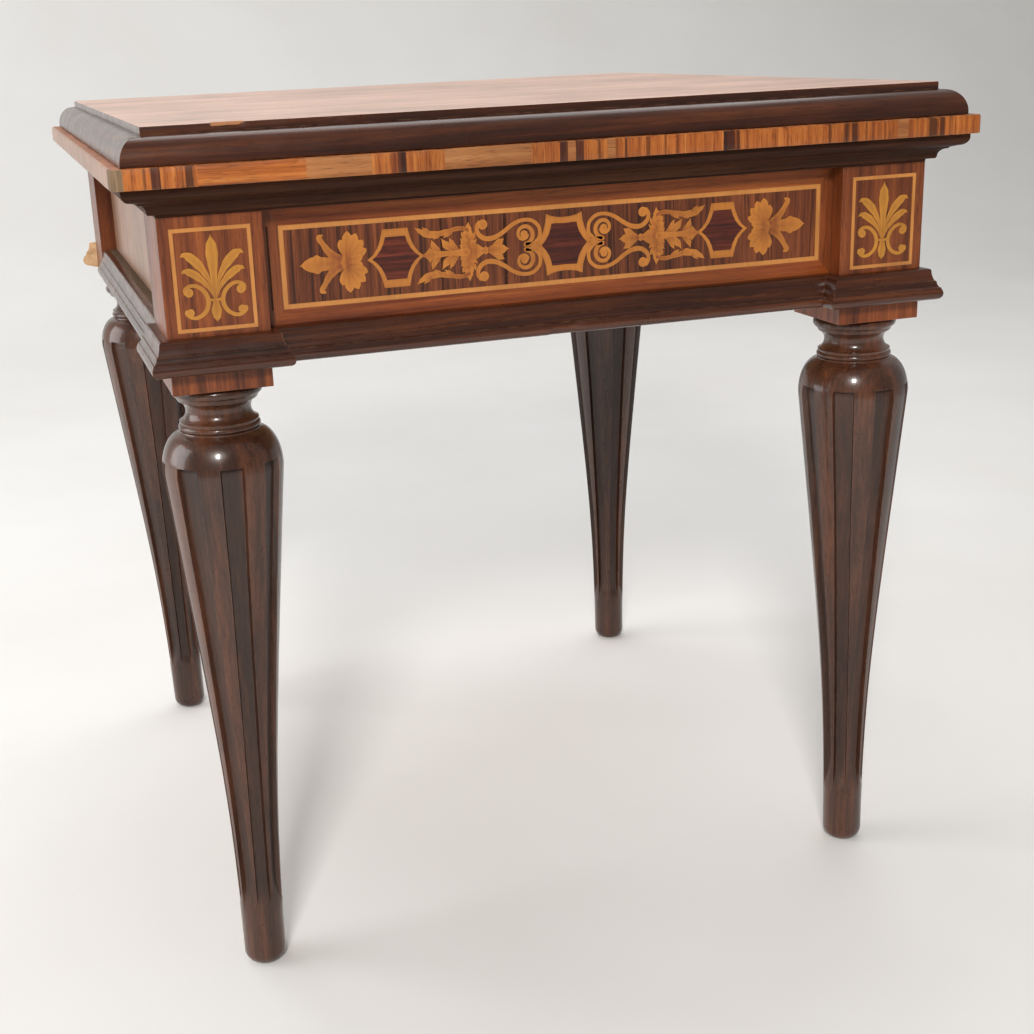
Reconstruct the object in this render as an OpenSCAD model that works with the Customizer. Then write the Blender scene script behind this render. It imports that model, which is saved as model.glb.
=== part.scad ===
// Square side table with a hinged top and a lever-wound cylinder music box inside.
// Millimetres. +Z is up, +X is to the right and the front faces -Y.
// The origin is on the floor, under the centre of the table.

/* [Table] */
// Height of the top surface above the floor
table_h = 550; // [520:1:580]
// Half-width of the case, measured to the face of a corner block
case_half = 247; // [247:1:262]
// Width of a corner block
post_w = 60; // [56:1:64]
// Depth by which the panels lie behind the faces of the corner blocks
recess = 12.5; // [12:0.5:14]
// Thickness of the four frieze panels
panel_t = 14; // [12:1:16]
// Thickness of the bottom board
bottom_t = 8; // [6:1:9]

/* [Top] */
// Half-width of the flat top surface
top_half = 251; // [251:1:252]
// Height of the square edge of the top board
top_edge_h = 4.7; // [4.5:0.1:5]
// Height of the quarter-round moulding under the top board
ovolo_h = 16; // [15.7:0.1:16.3]
// Thickness of the cross-banded board
band_h = 11.6; // [10:0.1:13]
// Overhang of the cross-banded board past the corner blocks
band_over = 24.5; // [23.5:0.1:24.5]
// Gap between the closed lid and the case
lid_gap = 0.2; // [0.1:0.1:0.4]

/* [Frieze and legs] */
// Height of the moulding under the lid
cornice_h = 17.1; // [17.1:0.1:18]
// Height of a corner block between the two mouldings
frieze_h = 68.8; // [66:0.1:72]
// Height of the moulding at the bottom of the case
base_h = 21.6; // [21.6:0.1:23]
// Side of the square block between the case and a leg
leg_block_w = 59; // [56:1:60]
// Height of the square block between the case and a leg
leg_block_h = 11.5; // [10:0.5:14]
// Radius of a leg just above its rounded foot
foot_r = 13.6; // [12:0.1:15]
// Number of flutes round a leg
flutes = 8; // [6:1:10]

/* [Movement] */
// Outer radius of the pinned cylinder
cylinder_r = 23; // [21:0.5:23]
// Length of the pinned cylinder
cylinder_l = 176; // [150:1:176]
// Distance that the cylinder shifts from the first tune to the last
tune_shift = 2.4; // [1:0.1:2.4]
// Number of comb teeth
comb_teeth = 72; // [40:1:80]
// Length of the winding lever from its arbor to its knob
lever_l = 105; // [90:1:105]
// Angle of the winding lever below the horizontal at rest
lever_drop = 22; // [15:1:22]

/* [Hidden] */
$fn = 64;

// Heights of the table, from the top down
z_edge = table_h - top_edge_h;
z_ovolo = z_edge - ovolo_h;
z_lid = z_ovolo - band_h;
z_case = z_lid - lid_gap;
z_cornice = z_case - cornice_h;
z_base = z_cornice - frieze_h;
z_bottom = z_base - base_h;
leg_h = z_bottom - leg_block_h;

// Plan of the case
face = case_half - recess;
inner = face - panel_t;
post_in = case_half - post_w;
leg_at = case_half - leg_block_w / 2;
band_half = case_half + band_over;
reach = 30;
z_floor = z_bottom + bottom_t;

// Colours
rosewood = [0.50, 0.24, 0.11];
banding = [0.60, 0.32, 0.14];
dark_wood = [0.17, 0.08, 0.055];
deal = [0.62, 0.44, 0.26];
brass = [0.80, 0.62, 0.27];
steel = [0.62, 0.63, 0.65];
iron = [0.22, 0.22, 0.23];

// Four sides of the table, starting at the front and going round to the left
module each_side() {
    for (i = [0:3])
        rotate(90 * i)
            children();
}

module each_corner(at) {
    for (x = [-at, at], y = [-at, at])
        translate([x, y, 0])
            children();
}

// Points of a circular or elliptical arc
function arc(cx, cy, rx, ry, a0, a1, n = 8) =
    [for (i = [0:n]) let (a = a0 + (a1 - a0) * i / n) [cx + rx * cos(a), cy + ry * sin(a)]];

// A moulding run along +X whose back is at y = 0 and which projects towards -Y.
// An end of 1 is mitred for an outer corner and an end of -1 for an inner corner.
module run(profile, len, end_a, end_b) {
    intersection() {
        translate([-reach, 0, 0])
            rotate([90, 0, 90])
                linear_extrude(len + 2 * reach)
                    polygon([for (p = profile) [-p[0], p[1]]]);
        translate([0, 0, -reach])
            linear_extrude(2 * reach)
                polygon([[0, 0], [len, 0], [len + end_b * reach, -reach], [-end_a * reach, -reach]]);
    }
}

// ---- Lid ----

// Quarter-round moulding, measured outwards from the body of the top board
body_inset = 26;
body_half = top_half - body_inset;
ovolo_profile = concat(
    [[0, 0], [39.7, 0]],
    arc(28.3, 1.5, 11.4, 14.2, 0, 90, 10),
    [[body_inset, ovolo_h], [0, ovolo_h]]);

module top_board() {
    color(rosewood) {
        translate([-top_half, -top_half, z_edge])
            cube([2 * top_half, 2 * top_half, top_edge_h]);
        translate([-body_half, -body_half, z_ovolo])
            cube([2 * body_half, 2 * body_half, ovolo_h]);
    }
}

module top_mouldings() {
    color(dark_wood)
        each_side()
            translate([-body_half, -body_half, z_ovolo])
                run(ovolo_profile, 2 * body_half, 1, 1);
}

module banded_board() {
    corner_r = 4.5;
    at = band_half - corner_r;
    color(banding)
        difference() {
            translate([0, 0, z_lid])
                linear_extrude(band_h)
                    union() {
                        square([2 * band_half, 2 * at], center = true);
                        square([2 * at, 2 * band_half], center = true);
                        each_corner(at)
                            circle(corner_r);
                    }
            hinge_room();
            each_hinge()
                translate([-leaf_l / 2, axis_y - leaf_w, z_lid - 1])
                    cube([leaf_l, leaf_w, leaf_t + 1]);
            lid_hinge_screws();
        }
}

// ---- Hinges ----

hinge_x = 165;
leaf_l = 50;
leaf_w = 24;
leaf_t = 1.2;
knuckle_r = 2.3;
pin_r = 1.2;
pin_fit = 0.05;
middle_l = 18;
side_gap = 0.25;
// The hinge axis lies in the joint between the lid and the case, just behind the cornice
cornice_out = 19.2;
axis_behind = 1.7;
axis_y = case_half + cornice_out + axis_behind;
axis_z = z_lid - lid_gap / 2;
room_r = knuckle_r + 0.4;

module each_hinge() {
    for (x = [-hinge_x, hinge_x])
        translate([x, 0, 0])
            children();
}

module on_axis() {
    translate([0, axis_y, axis_z])
        rotate([0, 90, 0])
            children();
}

// Space for the knuckles, round the hinge axis
module hinge_room() {
    each_hinge() {
        on_axis()
            cylinder(r = room_r, h = leaf_l + 1, center = true);
        translate([-(leaf_l + 1) / 2, axis_y, axis_z - room_r])
            cube([leaf_l + 1, 10, 2 * room_r]);
    }
}

module leaf(z, own, other) {
    difference() {
        union() {
            difference() {
                translate([-leaf_l / 2, axis_y - leaf_w, z])
                    cube([leaf_l, leaf_w, leaf_t]);
                for (k = other)
                    translate([k[0], 0, 0])
                        on_axis()
                            cylinder(r = room_r, h = k[1] + 2 * side_gap, center = true);
            }
            for (k = own)
                translate([k[0], 0, 0])
                    on_axis()
                        cylinder(r = knuckle_r, h = k[1], center = true);
        }
        on_axis()
            cylinder(r = pin_r + pin_fit, h = leaf_l + 2, center = true);
    }
}

outer_l = (leaf_l - middle_l) / 2 - side_gap;
outer_at = leaf_l / 2 - outer_l / 2;
middle_knuckle = [[0, middle_l]];
outer_knuckles = [[-outer_at, outer_l], [outer_at, outer_l]];
screw_xs = [-18, 0, 18];
screw_row = 0.62 * leaf_w;
screw_r = 1.5;
screw_head_r = 2.8;
screw_l = 9;

// Countersunk wood screws along a leaf, pointing up (dir = 1) or down (dir = -1)
module leaf_screws(z, dir) {
    each_hinge()
        for (x = screw_xs)
            translate([x, axis_y - screw_row, z])
                scale_dir(dir) {
                    cylinder(r1 = screw_head_r, r2 = screw_r, h = leaf_t);
                    cylinder(r = screw_r, h = screw_l);
                }
}

module scale_dir(dir) {
    if (dir < 0)
        mirror([0, 0, 1])
            children();
    else
        children();
}

module lid_hinge_leaves() {
    color(brass)
        difference() {
            each_hinge()
                leaf(z_lid, middle_knuckle, outer_knuckles);
            lid_hinge_screws();
        }
}

module lid_hinge_screws() {
    color(brass)
        leaf_screws(z_lid, 1);
}

module case_hinge_leaves() {
    color(brass)
        difference() {
            each_hinge()
                leaf(z_case - leaf_t, outer_knuckles, middle_knuckle);
            case_hinge_screws();
        }
}

module case_hinge_screws() {
    color(brass)
        leaf_screws(z_case, -1);
}

module hinge_pins() {
    color(steel)
        each_hinge()
            on_axis()
                cylinder(r = pin_r, h = leaf_l, center = true);
}

// ---- Case ----

// Cornice, measured outwards from the face of a panel and down from the top of the case
cornice_profile = concat(
    [[0, 0], [recess + cornice_out, 0], [recess + cornice_out, -2.2]],
    arc(recess + 14.1, -2.2, 5.1, 5.0, 0, -90, 6),
    [[recess + 10.3, -8.3]],
    arc(recess + 9.9, -14, 4.9, 4.9, 90, 180, 6),
    [[recess + 4.4, -15.4], [recess, -15.4], [recess, -cornice_h], [0, -cornice_h]]);

module cornice_mouldings() {
    color(dark_wood)
        difference() {
            each_side()
                translate([-face, -face, z_case])
                    run(cornice_profile, 2 * face, 1, 1);
            hinge_room();
            each_hinge()
                translate([-leaf_l / 2, axis_y - leaf_w, z_case - leaf_t])
                    cube([leaf_l, leaf_w, leaf_t + 1]);
            case_hinge_screws();
        }
}

// Base moulding, measured outwards from the face it is glued to and down from its top
base_profile = concat(
    [[0, 0], [4.4, -0.5], [5.3, -1.2]],
    arc(13.0, -1.2, 7.6, 11, 183, 220, 4),
    [[7.9, -8.3]],
    arc(13.4, -8.2, 5.4, 6.0, 190, 225, 3),
    [[10.3, -12.5]],
    arc(8.4, -16.4, 3.0, 3.9, 48, -70, 8),
    [[8.6, -20.4], [0, -base_h]]);

// Lengths on the right-hand end of a panel and round the corner block there
module base_block(step) {
    translate([post_in, -face - step, 0])
        rotate(-90)
            run(base_profile, recess - step, -1, 1);
    translate([post_in, -case_half, 0])
        run(base_profile, post_w, 1, 1);
}

// The length on the left panel stands on a packing strip this wide
left_step = 6;

module base_mouldings() {
    color(dark_wood)
        translate([0, 0, z_base]) {
            for (i = [0:2])
                rotate(90 * i) {
                    translate([-case_half, -case_half, 0])
                        run(base_profile, post_w, 1, 1);
                    translate([-post_in, -case_half, 0])
                        rotate(90)
                            run(base_profile, recess, 1, -1);
                    translate([-post_in, -face, 0])
                        run(base_profile, 2 * post_in, -1, -1);
                    base_block(0);
                }
            // The lengths on the left face of the back left block are lost
            rotate(270) {
                translate([-post_in, -face - left_step, -base_h])
                    cube([2 * post_in, left_step, base_h]);
                translate([-post_in, -face - left_step, 0])
                    run(base_profile, 2 * post_in, 0, -1);
                base_block(left_step);
            }
        }
}

bolt_r = 4;
bolt_up = 30;
bolt_down = 40;

module leg_bolts() {
    color(steel)
        each_corner(leg_at)
            translate([0, 0, leg_h - bolt_down])
                cylinder(r = bolt_r, h = bolt_down + leg_block_h + bolt_up);
}

module corner_posts() {
    color(rosewood)
        difference() {
            each_side() {
                translate([post_in, post_in, z_bottom])
                    cube([post_w, post_w, z_cornice - z_bottom]);
                translate([post_in, post_in, z_cornice])
                    cube([face - post_in, face - post_in, cornice_h]);
            }
            leg_bolts();
        }
}

module panel(i) {
    color(rosewood)
        rotate(90 * i)
            translate([-post_in, -face, z_bottom])
                cube([2 * post_in, panel_t, z_case - z_bottom]);
}

module panel_front() {
    panel(0);
}

module panel_right() {
    panel(1);
}

module panel_back() {
    panel(2);
}

module panel_left() {
    panel(3);
}

// The back left block has slipped this far to the right
block_slip = 3;

module leg_blocks() {
    color(rosewood)
        difference() {
            for (x = [-leg_at, leg_at], y = [-leg_at, leg_at])
                translate([x + (x < 0 && y > 0 ? block_slip : 0), y, leg_h])
                    translate([-leg_block_w / 2, -leg_block_w / 2, 0])
                        cube([leg_block_w, leg_block_w, leg_block_h]);
            leg_bolts();
        }
}

// ---- Legs ----

// Radius of the tapered shaft: nearly straight at the foot, then a steady flare
flare = 3.92;
flare_from = 109;
flare_len = 40;
shoulder_down = 52.5;
function shaft_r(z) = foot_r + flare * ln(1 + exp((z - flare_from) / flare_len));

z_shoulder = leg_h - shoulder_down;
shoulder_r = shaft_r(z_shoulder);
toe = 7;
toe_h = 8;
shaft_steps = 14;
function shaft(z0, z1, grow = 0) =
    [for (i = [0:shaft_steps]) let (z = z0 + (z1 - z0) * i / shaft_steps) [shaft_r(z) + grow, z]];

// Shoulder, bead, neck and top ring, measured down from the top of the leg.
// The spare length at both ends is trimmed off when the leg has been leant over.
spare = 1;
leg_profile = concat(
    [[0, -spare], [shaft_r(toe_h) - toe, -spare]],
    arc(shaft_r(toe_h) - toe, toe_h, toe, toe_h, -80, 0, 6),
    shaft(toe_h, z_shoulder),
    arc(shoulder_r - 12.8, z_shoulder, 12.8, 23.6, 10, 90, 9),
    [[24.5, leg_h - 27.9]],
    arc(22.9, leg_h - 25.7, 1.9, 2.0, -60, 60, 5),
    arc(26.3, leg_h - 15.7, 6.6, 6.8, 250, 110, 8),
    arc(24.9, leg_h - 3.6, 2.6, 3.2, -75, 75, 6),
    [[24.9, leg_h + spare], [0, leg_h + spare]]);

flute_angle = 24;
flute_deep = 3.5;
flute_from = 50;
flute_to = z_shoulder + 6.7;

// Distance by which the foot of each leg has moved to the right
foot_front_left = -2;
foot_front_right = 6.5;
foot_back_left = 7.5;
foot_back_right = 0;

module fluted() {
    difference() {
        rotate_extrude()
            polygon(leg_profile);
        for (i = [0:flutes - 1])
            rotate(360 / flutes * i - flute_angle / 2)
                rotate_extrude(angle = flute_angle)
                    polygon(concat(
                        shaft(flute_from, flute_to, -flute_deep),
                        [[shoulder_r + 5, flute_to], [foot_r + 5, flute_from]]));
    }
}

module leg(sx, sy, foot) {
    color(dark_wood)
        difference() {
            translate([sx * leg_at, sy * leg_at, 0])
                intersection() {
                    translate([0, 0, leg_h])
                        rotate([0, -asin(foot / leg_h), 0])
                            translate([0, 0, -leg_h])
                                fluted();
                    translate([-leg_block_w, -leg_block_w, 0])
                        cube([2 * leg_block_w, 2 * leg_block_w, leg_h]);
                }
            leg_bolts();
        }
}

module leg_front_left() {
    leg(-1, -1, foot_front_left);
}

module leg_front_right() {
    leg(1, -1, foot_front_right);
}

module leg_back_left() {
    leg(-1, 1, foot_back_left);
}

module leg_back_right() {
    leg(1, 1, foot_back_right);
}

// ---- Inside of the case ----

part_x = 160;
part_t = 6;
part_down = 5.5;
part_top = z_case - part_down;
arbor_room = 2;
slot_l = 20;
slot_h = 5;
rail_h = 10;
bed_t = 7;
z_bed = z_floor + rail_h;
z_top = z_bed + bed_t;

module bottom_board() {
    color(deal)
        difference() {
            translate([-inner, -inner, z_bottom])
                cube([2 * inner, 2 * inner, bottom_t]);
            each_side()
                translate([post_in, post_in, z_bottom - 1])
                    cube([post_w, post_w, bottom_t + 2]);
        }
}

module partitions() {
    color(deal)
        difference() {
            for (x = [-part_x - part_t, part_x])
                translate([x, -inner, z_floor])
                    cube([part_t, 2 * inner, part_top - z_floor]);
            translate([-part_x - part_t - 1, barrel_y, axle_z])
                rotate([0, 90, 0])
                    cylinder(r = arbor_r + arbor_room, h = part_t + 2);
            for (y = [start_y, change_y])
                translate([part_x - 1, y - slot_l / 2, z_top])
                    cube([part_t + 2, slot_l, slot_h]);
        }
}

frame_w = 14;
frame_h = 6.5;
pane_t = 2.5;
pane_in = 6;
z_frame = part_top - frame_h;

module glass_frame() {
    color(dark_wood)
        translate([0, 0, z_frame])
            difference() {
                translate([-part_x, -inner, 0])
                    cube([2 * part_x, 2 * inner, frame_h]);
                translate([frame_w - part_x, frame_w - inner, -1])
                    cube([2 * (part_x - frame_w), 2 * (inner - frame_w), frame_h + 2]);
                translate([frame_w - pane_in - part_x, frame_w - pane_in - inner, -1])
                    cube([2 * (part_x - frame_w + pane_in), 2 * (inner - frame_w + pane_in), pane_t + 1]);
            }
}

module glass_pane() {
    color([0.8, 0.9, 0.88, 0.4])
        translate([frame_w - pane_in - part_x, frame_w - pane_in - inner, z_frame])
            cube([2 * (part_x - frame_w + pane_in), 2 * (inner - frame_w + pane_in), pane_t]);
}

// ---- Movement: frame ----

bed_x0 = -154;
bed_x1 = 157;
bed_half = 62;
bed_screw_xs = [-146, 110];
bed_screw_y = 55;
rail_w = 20;
rail_half = 66;

module movement_rails() {
    color(deal)
        difference() {
            for (x = bed_screw_xs)
                translate([x - rail_w / 2, -rail_half, z_floor])
                    cube([rail_w, 2 * rail_half, rail_h]);
            movement_screws();
        }
}

module bedplate() {
    color(iron)
        difference() {
            translate([bed_x0, -bed_half, z_bed])
                cube([bed_x1 - bed_x0, 2 * bed_half, bed_t]);
            movement_screws();
        }
}

// A screw with its head's underside at the origin
module screw(r, l, head_r, head_h) {
    cylinder(r = head_r, h = head_h);
    translate([0, 0, -l])
        cylinder(r = r, h = l + head_h);
}

pivot_r = 2;
module movement_screws() {
    color(steel) {
        for (x = bed_screw_xs, y = [-bed_screw_y, bed_screw_y])
            translate([x, y, z_top])
                screw(2, bed_t + rail_h - 3, 3.5, 2);
        for (i = [0:comb_screws - 1])
            translate([comb_x0 + comb_w * (i + 0.5) / comb_screws, comb_y - comb_back / 2,
                comb_z + comb_t])
                screw(1.4, comb_t + 10, 2.6, 1.4);
        for (y = [start_y, change_y])
            translate([pivot_x, y, z_top + lever_z + lever_t + 0.3])
                screw(pivot_r, lever_z + lever_t + 4, 3.6, 1.6);
    }
}

// Axes of the movement. All but the fan's axis run along X
axle_z = z_top + 35;
cylinder_y = 14;
cylinder_x0 = -78;
cylinder_x1 = cylinder_x0 + cylinder_l;
barrel_module = 1.1;
barrel_teeth = 60;
pinion_teeth = 15;
barrel_y = cylinder_y - barrel_module * (barrel_teeth + pinion_teeth) / 2;
arbor_r = 4;
axle_r = 3;
fit = 0.05;

// A solid drawn in the YZ plane, starting at x
module across(x) {
    translate([x, 0, 0])
        rotate([90, 0, 90])
            children();
}

module disc(x, t, y, z, r) {
    across(x)
        translate([y, z, 0])
            cylinder(r = r, h = t);
}

// An upright bearing with a foot, bored for an arbor
module bridge(x, t, y, r, bore_r) {
    difference() {
        union() {
            disc(x, t, y, axle_z, r);
            translate([x, y - r, z_top])
                cube([t, 2 * r, axle_z - z_top]);
            translate([x, y - r - 4, z_top])
                cube([t, 2 * r + 8, 6]);
        }
        disc(x - 1, t + 2, y, axle_z, bore_r);
    }
}

bridge_t = 6;
left_bridge_x = -152;
middle_bridge_x = -94;
right_bridge_x = 116;

module left_bridge() {
    p = click_pivot(ratchet_r);
    color(brass)
        difference() {
            union() {
                bridge(left_bridge_x, bridge_t, barrel_y, 12, arbor_r + fit);
                disc(left_bridge_x, bridge_t, barrel_y + p[0], axle_z + p[1], 4);
                disc(left_bridge_x - 7.5, 8, barrel_y + p[0], axle_z + p[1], stud_r);
                across(left_bridge_x)
                    translate([barrel_y, axle_z, 0])
                        linear_extrude(bridge_t)
                            polygon([[-4, 8], [8, -6], p + [2, -3], p + [-2, 3]]);
            }
            disc(left_bridge_x - 1, bridge_t + 2, barrel_y, axle_z, arbor_r + fit);
        }
}

module middle_bridge() {
    color(brass)
        difference() {
            union() {
                bridge(middle_bridge_x, bridge_t, barrel_y, 12, arbor_r + fit);
                bridge(middle_bridge_x, bridge_t, cylinder_y, 10, axle_r + fit);
            }
            disc(middle_bridge_x - 1, bridge_t + 2, barrel_y, axle_z, arbor_r + fit);
            disc(middle_bridge_x - 1, bridge_t + 2, cylinder_y, axle_z, axle_r + fit);
        }
}

module right_bridge() {
    color(brass)
        bridge(right_bridge_x, bridge_t, cylinder_y, 10, axle_r + fit);
}

// ---- Comb ----

comb_w = 168;
comb_x0 = cylinder_x0 + 5;
comb_t = 2.2;
comb_z = axle_z - 1.4;
comb_back = 18;
tooth_l = 24;
comb_screws = 8;
comb_tip_y = cylinder_y - cylinder_r - 1;
comb_y = comb_tip_y - tooth_l;
tooth_pitch = comb_w / comb_teeth;
slot_w = tooth_pitch * 0.36;

module comb() {
    color(steel)
        difference() {
            translate([comb_x0, comb_y - comb_back, comb_z])
                cube([comb_w, comb_back + tooth_l, comb_t]);
            translate([0, 0, comb_z - 1])
                linear_extrude(comb_t + 2)
                    for (i = [1:comb_teeth - 1])
                        translate([comb_x0 + i * tooth_pitch - slot_w / 2, comb_y])
                            square([slot_w, tooth_l + 1]);
            movement_screws();
        }
}

module comb_base() {
    color(brass)
        difference() {
            translate([comb_x0, comb_y - comb_back, z_top])
                cube([comb_w, comb_back - 2, comb_z - z_top]);
            movement_screws();
        }
}

// ---- Wheels ----

// Outline of a wheel with tapered teeth; the first tooth is centred on angle a
function tooth_ring(n, m, a) = let (step = 360 / n, r0 = m * (n / 2 - 1.2), r1 = m * (n / 2 + 0.8))
    [for (i = [0:n - 1], k = [[-0.24, r0], [-0.10, r1], [0.10, r1], [0.24, r0]])
        let (t = a + step * (i + k[0])) [k[1] * cos(t), k[1] * sin(t)]];

module wheel(x, t, y, z, n, m, a, bore_r) {
    across(x)
        translate([y, z, 0])
            linear_extrude(t)
                difference() {
                    polygon(tooth_ring(n, m, a));
                    circle(bore_r);
                }
}

// Saw-toothed wheel for a click
ratchet_teeth = 24;
module ratchet(x, t, y, z, r) {
    across(x)
        translate([y, z, 0])
            linear_extrude(t)
                difference() {
                    polygon([for (i = [0:ratchet_teeth - 1], k = [[0, r], [0.12, r - 2]])
                        let (a = 360 / ratchet_teeth * (i + k[0])) [k[1] * cos(a), k[1] * sin(a)]]);
                    circle(arbor_r);
                }
}

// ---- Winding gear ----

ratchet_r = 17;
lever_ratchet_r = 14;
ratchet_x = -158.5;
ratchet_t = 3;
lever_ratchet_x = -171.5;
stud_r = 1.5;
barrel_x0 = -140.5;
barrel_x1 = -98;
barrel_r = 29;
barrel_wall = 1.5;
ring_t = 5;
cover_t = 2.5;
core_r = 8;
core_in = 4.5;
core_l = 30;
winding_end_x = -182;
winding_arbor_l = 98;

// Pivot of a click, measured from the centre of its wheel
function click_pivot(r) = [1.27 * r, 0.95 * r];

// A click that lies just clear of the tips of a wheel of radius r
module click_arm(r) {
    p = click_pivot(r);
    difference() {
        union() {
            translate(p)
                circle(3.2);
            polygon([p - [0, 1.6], p + [0, 1.8], [0.26 * r, r + 3.1], [0.26 * r - 0.8, r + 0.55]]);
        }
        translate(p)
            circle(stud_r + fit);
    }
}

module click() {
    color(steel)
        across(ratchet_x + 0.2)
            translate([barrel_y, axle_z, 0])
                linear_extrude(ratchet_t - 0.4)
                    click_arm(ratchet_r);
}

module barrel_arbor() {
    color(steel) {
        disc(winding_end_x, winding_arbor_l, barrel_y, axle_z, arbor_r);
        disc(barrel_x0 + core_in, core_l, barrel_y, axle_z, core_r);
    }
}

module ratchet_wheels() {
    color(steel) {
        ratchet(ratchet_x, ratchet_t, barrel_y, axle_z, ratchet_r);
        ratchet(lever_ratchet_x, ratchet_t, barrel_y, axle_z, lever_ratchet_r);
    }
}

// The drum's wall runs half a millimetre into its gear
drum_l = barrel_x1 - ring_t - barrel_x0 - cover_t + 0.5;

// The barrel gear has a tooth on the line to the cylinder's axis
module barrel_drum() {
    color(brass) {
        wheel(barrel_x1 - ring_t, ring_t, barrel_y, axle_z, barrel_teeth, barrel_module, 0, arbor_r + fit);
        difference() {
            disc(barrel_x0 + cover_t, drum_l, barrel_y, axle_z, barrel_r);
            disc(barrel_x0, barrel_x1 - ring_t - barrel_x0, barrel_y, axle_z, barrel_r - barrel_wall);
            disc(barrel_x0, barrel_x1 - barrel_x0 + 1, barrel_y, axle_z, arbor_r + fit);
        }
    }
}

module barrel_cover() {
    color(brass)
        difference() {
            disc(barrel_x0, cover_t, barrel_y, axle_z, barrel_r);
            disc(barrel_x0 - 1, cover_t + 2, barrel_y, axle_z, arbor_r + fit);
        }
}

spring_turns = 9;
spring_steps = 24;
spring_t = 0.6;
spring_r0 = core_r + 0.6;
spring_r1 = barrel_r - barrel_wall - 0.7;
function coil(grow) = [for (i = [0:spring_turns * spring_steps])
    let (s = i / (spring_turns * spring_steps), r = spring_r0 + (spring_r1 - spring_r0) * s + grow,
        a = 360 * spring_turns * s)
    [r * cos(a), r * sin(a)]];
function backwards(v) = [for (i = [len(v) - 1:-1:0]) v[i]];

module mainspring() {
    color(steel)
        across(barrel_x0 + 5.5)
            translate([barrel_y, axle_z, 0])
                linear_extrude(28)
                    polygon(concat(coil(0), backwards(coil(spring_t))));
}

winding_x = -176;
hub_r = 10;
arm_t = 4;
knob_r = 8;
knob_l = 28;

// Things that are drawn with the winding lever pointing along +Y, then turned to its rest angle
module on_lever(x) {
    across(x)
        translate([barrel_y, axle_z, 0])
            rotate(180 + lever_drop)
                children();
}

pawl_turn = -18;
module winding_lever() {
    p = click_pivot(lever_ratchet_r);
    color(brass)
        on_lever(winding_x) {
            linear_extrude(arm_t)
                difference() {
                    union() {
                        circle(hub_r);
                        translate([0, -4])
                            square([lever_l, 8]);
                        translate([lever_l, 0])
                            circle(6);
                        rotate(pawl_turn) {
                            translate(p)
                                circle(4.5);
                            polygon([[-4, 7], [7, -4], p + [2, -3], p + [-2, 3]]);
                        }
                    }
                    circle(arbor_r + fit);
                    translate([lever_l, 0])
                        circle(2);
                }
            rotate(pawl_turn)
                translate(concat(p, arm_t / 2))
                    cylinder(r = stud_r, h = arm_t / 2 + ratchet_t + 0.6);
        }
}

module winding_knob() {
    color(dark_wood)
        on_lever(winding_x - knob_l)
            translate([lever_l, 0, 0]) {
                rotate_extrude()
                    polygon(concat([[0, 0]], arc(0, 6, knob_r, 6, -75, 0, 6),
                        arc(knob_r + 5, 15, 8, 8, 200, 160, 4), [[5, knob_l], [0, knob_l]]));
                cylinder(r = 2, h = knob_l + arm_t);
            }
}

module winding_pawl() {
    color(steel)
        on_lever(lever_ratchet_x + 0.3)
            rotate(pawl_turn)
                linear_extrude(ratchet_t - 0.6)
                    click_arm(lever_ratchet_r);
}

// ---- Cylinder ----

tube_wall = 1;
cap_t = 3;
great_x = 106;
great_t = 3;
great_module = 0.7;
great_teeth = 60;
star_turn = 70;
star_at = 13;
star_x = 101;
axle_x0 = -106;
axle_l = 230;
spoke_hole_r = 4;
stud_pin_r = 1.2;

module cylinder_arbor() {
    color(steel)
        disc(axle_x0, axle_l, cylinder_y, axle_z, axle_r);
}

// The pinion has a gap on the line to the barrel's axis
module cylinder_pinion() {
    color(steel)
        wheel(barrel_x1 - ring_t - 0.5, ring_t + 1, cylinder_y, axle_z, pinion_teeth, barrel_module,
            180 + 180 / pinion_teeth, axle_r);
}

module great_wheel() {
    color(brass) {
        difference() {
            wheel(great_x, great_t, cylinder_y, axle_z, great_teeth, great_module, second_dir, axle_r);
            across(great_x - 1)
                translate([cylinder_y, axle_z, 0])
                    for (a = [90, 180, 270])
                        rotate(star_turn + a)
                            translate([star_at, 0, 0])
                                cylinder(r = spoke_hole_r, h = great_t + 2);
        }
        across(star_x + 0.2)
            translate([cylinder_y, axle_z, 0])
                rotate(star_turn)
                    translate([star_at, 0, 0])
                        cylinder(r = stud_pin_r, h = great_x - star_x);
    }
}

// Star wheel and stepped cam that pick the tune
star_points = 6;
star_r = 5.5;
star_root = 3;
star_t = 1.4;
cam_r = 8;
cam_step = tune_shift / star_points;
cam_t = 2.8;
cam_turn = 15;
module change_star() {
    color(brass)
        across(star_x)
            translate([cylinder_y, axle_z, 0])
                rotate(star_turn)
                    translate([star_at, 0, 0])
                        difference() {
                            union() {
                                linear_extrude(star_t)
                                    polygon([for (i = [0:2 * star_points - 1])
                                        let (r = i % 2 == 0 ? star_r : star_root, a = 180 / star_points * i)
                                        [r * cos(a), r * sin(a)]]);
                                translate([0, 0, star_t / 2])
                                    cylinder(r = star_root - 0.4, h = great_x - star_x - 1.2);
                                translate([0, 0, great_x - star_x - 0.4 - cam_t])
                                    stepped_cam();
                            }
                            translate([0, 0, -1])
                                cylinder(r = stud_pin_r + fit, h = great_x - star_x + 2);
                        }
}

// A disc whose face steps down by cam_step from one sixth to the next, built up in layers
module stepped_cam() {
    steps = star_points - 1;
    for (i = [0:steps - 1])
        translate([0, 0, cam_step * i])
            linear_extrude(cam_step)
                intersection() {
                    circle(cam_r);
                    rotate(cam_turn)
                        polygon([for (k = [0:i + 1]) 2 * cam_r * [cos(60 * k), sin(60 * k)], [0, 0]]);
                }
    translate([0, 0, cam_step * steps])
        cylinder(r = cam_r, h = cam_t - cam_step * steps);
}

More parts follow.
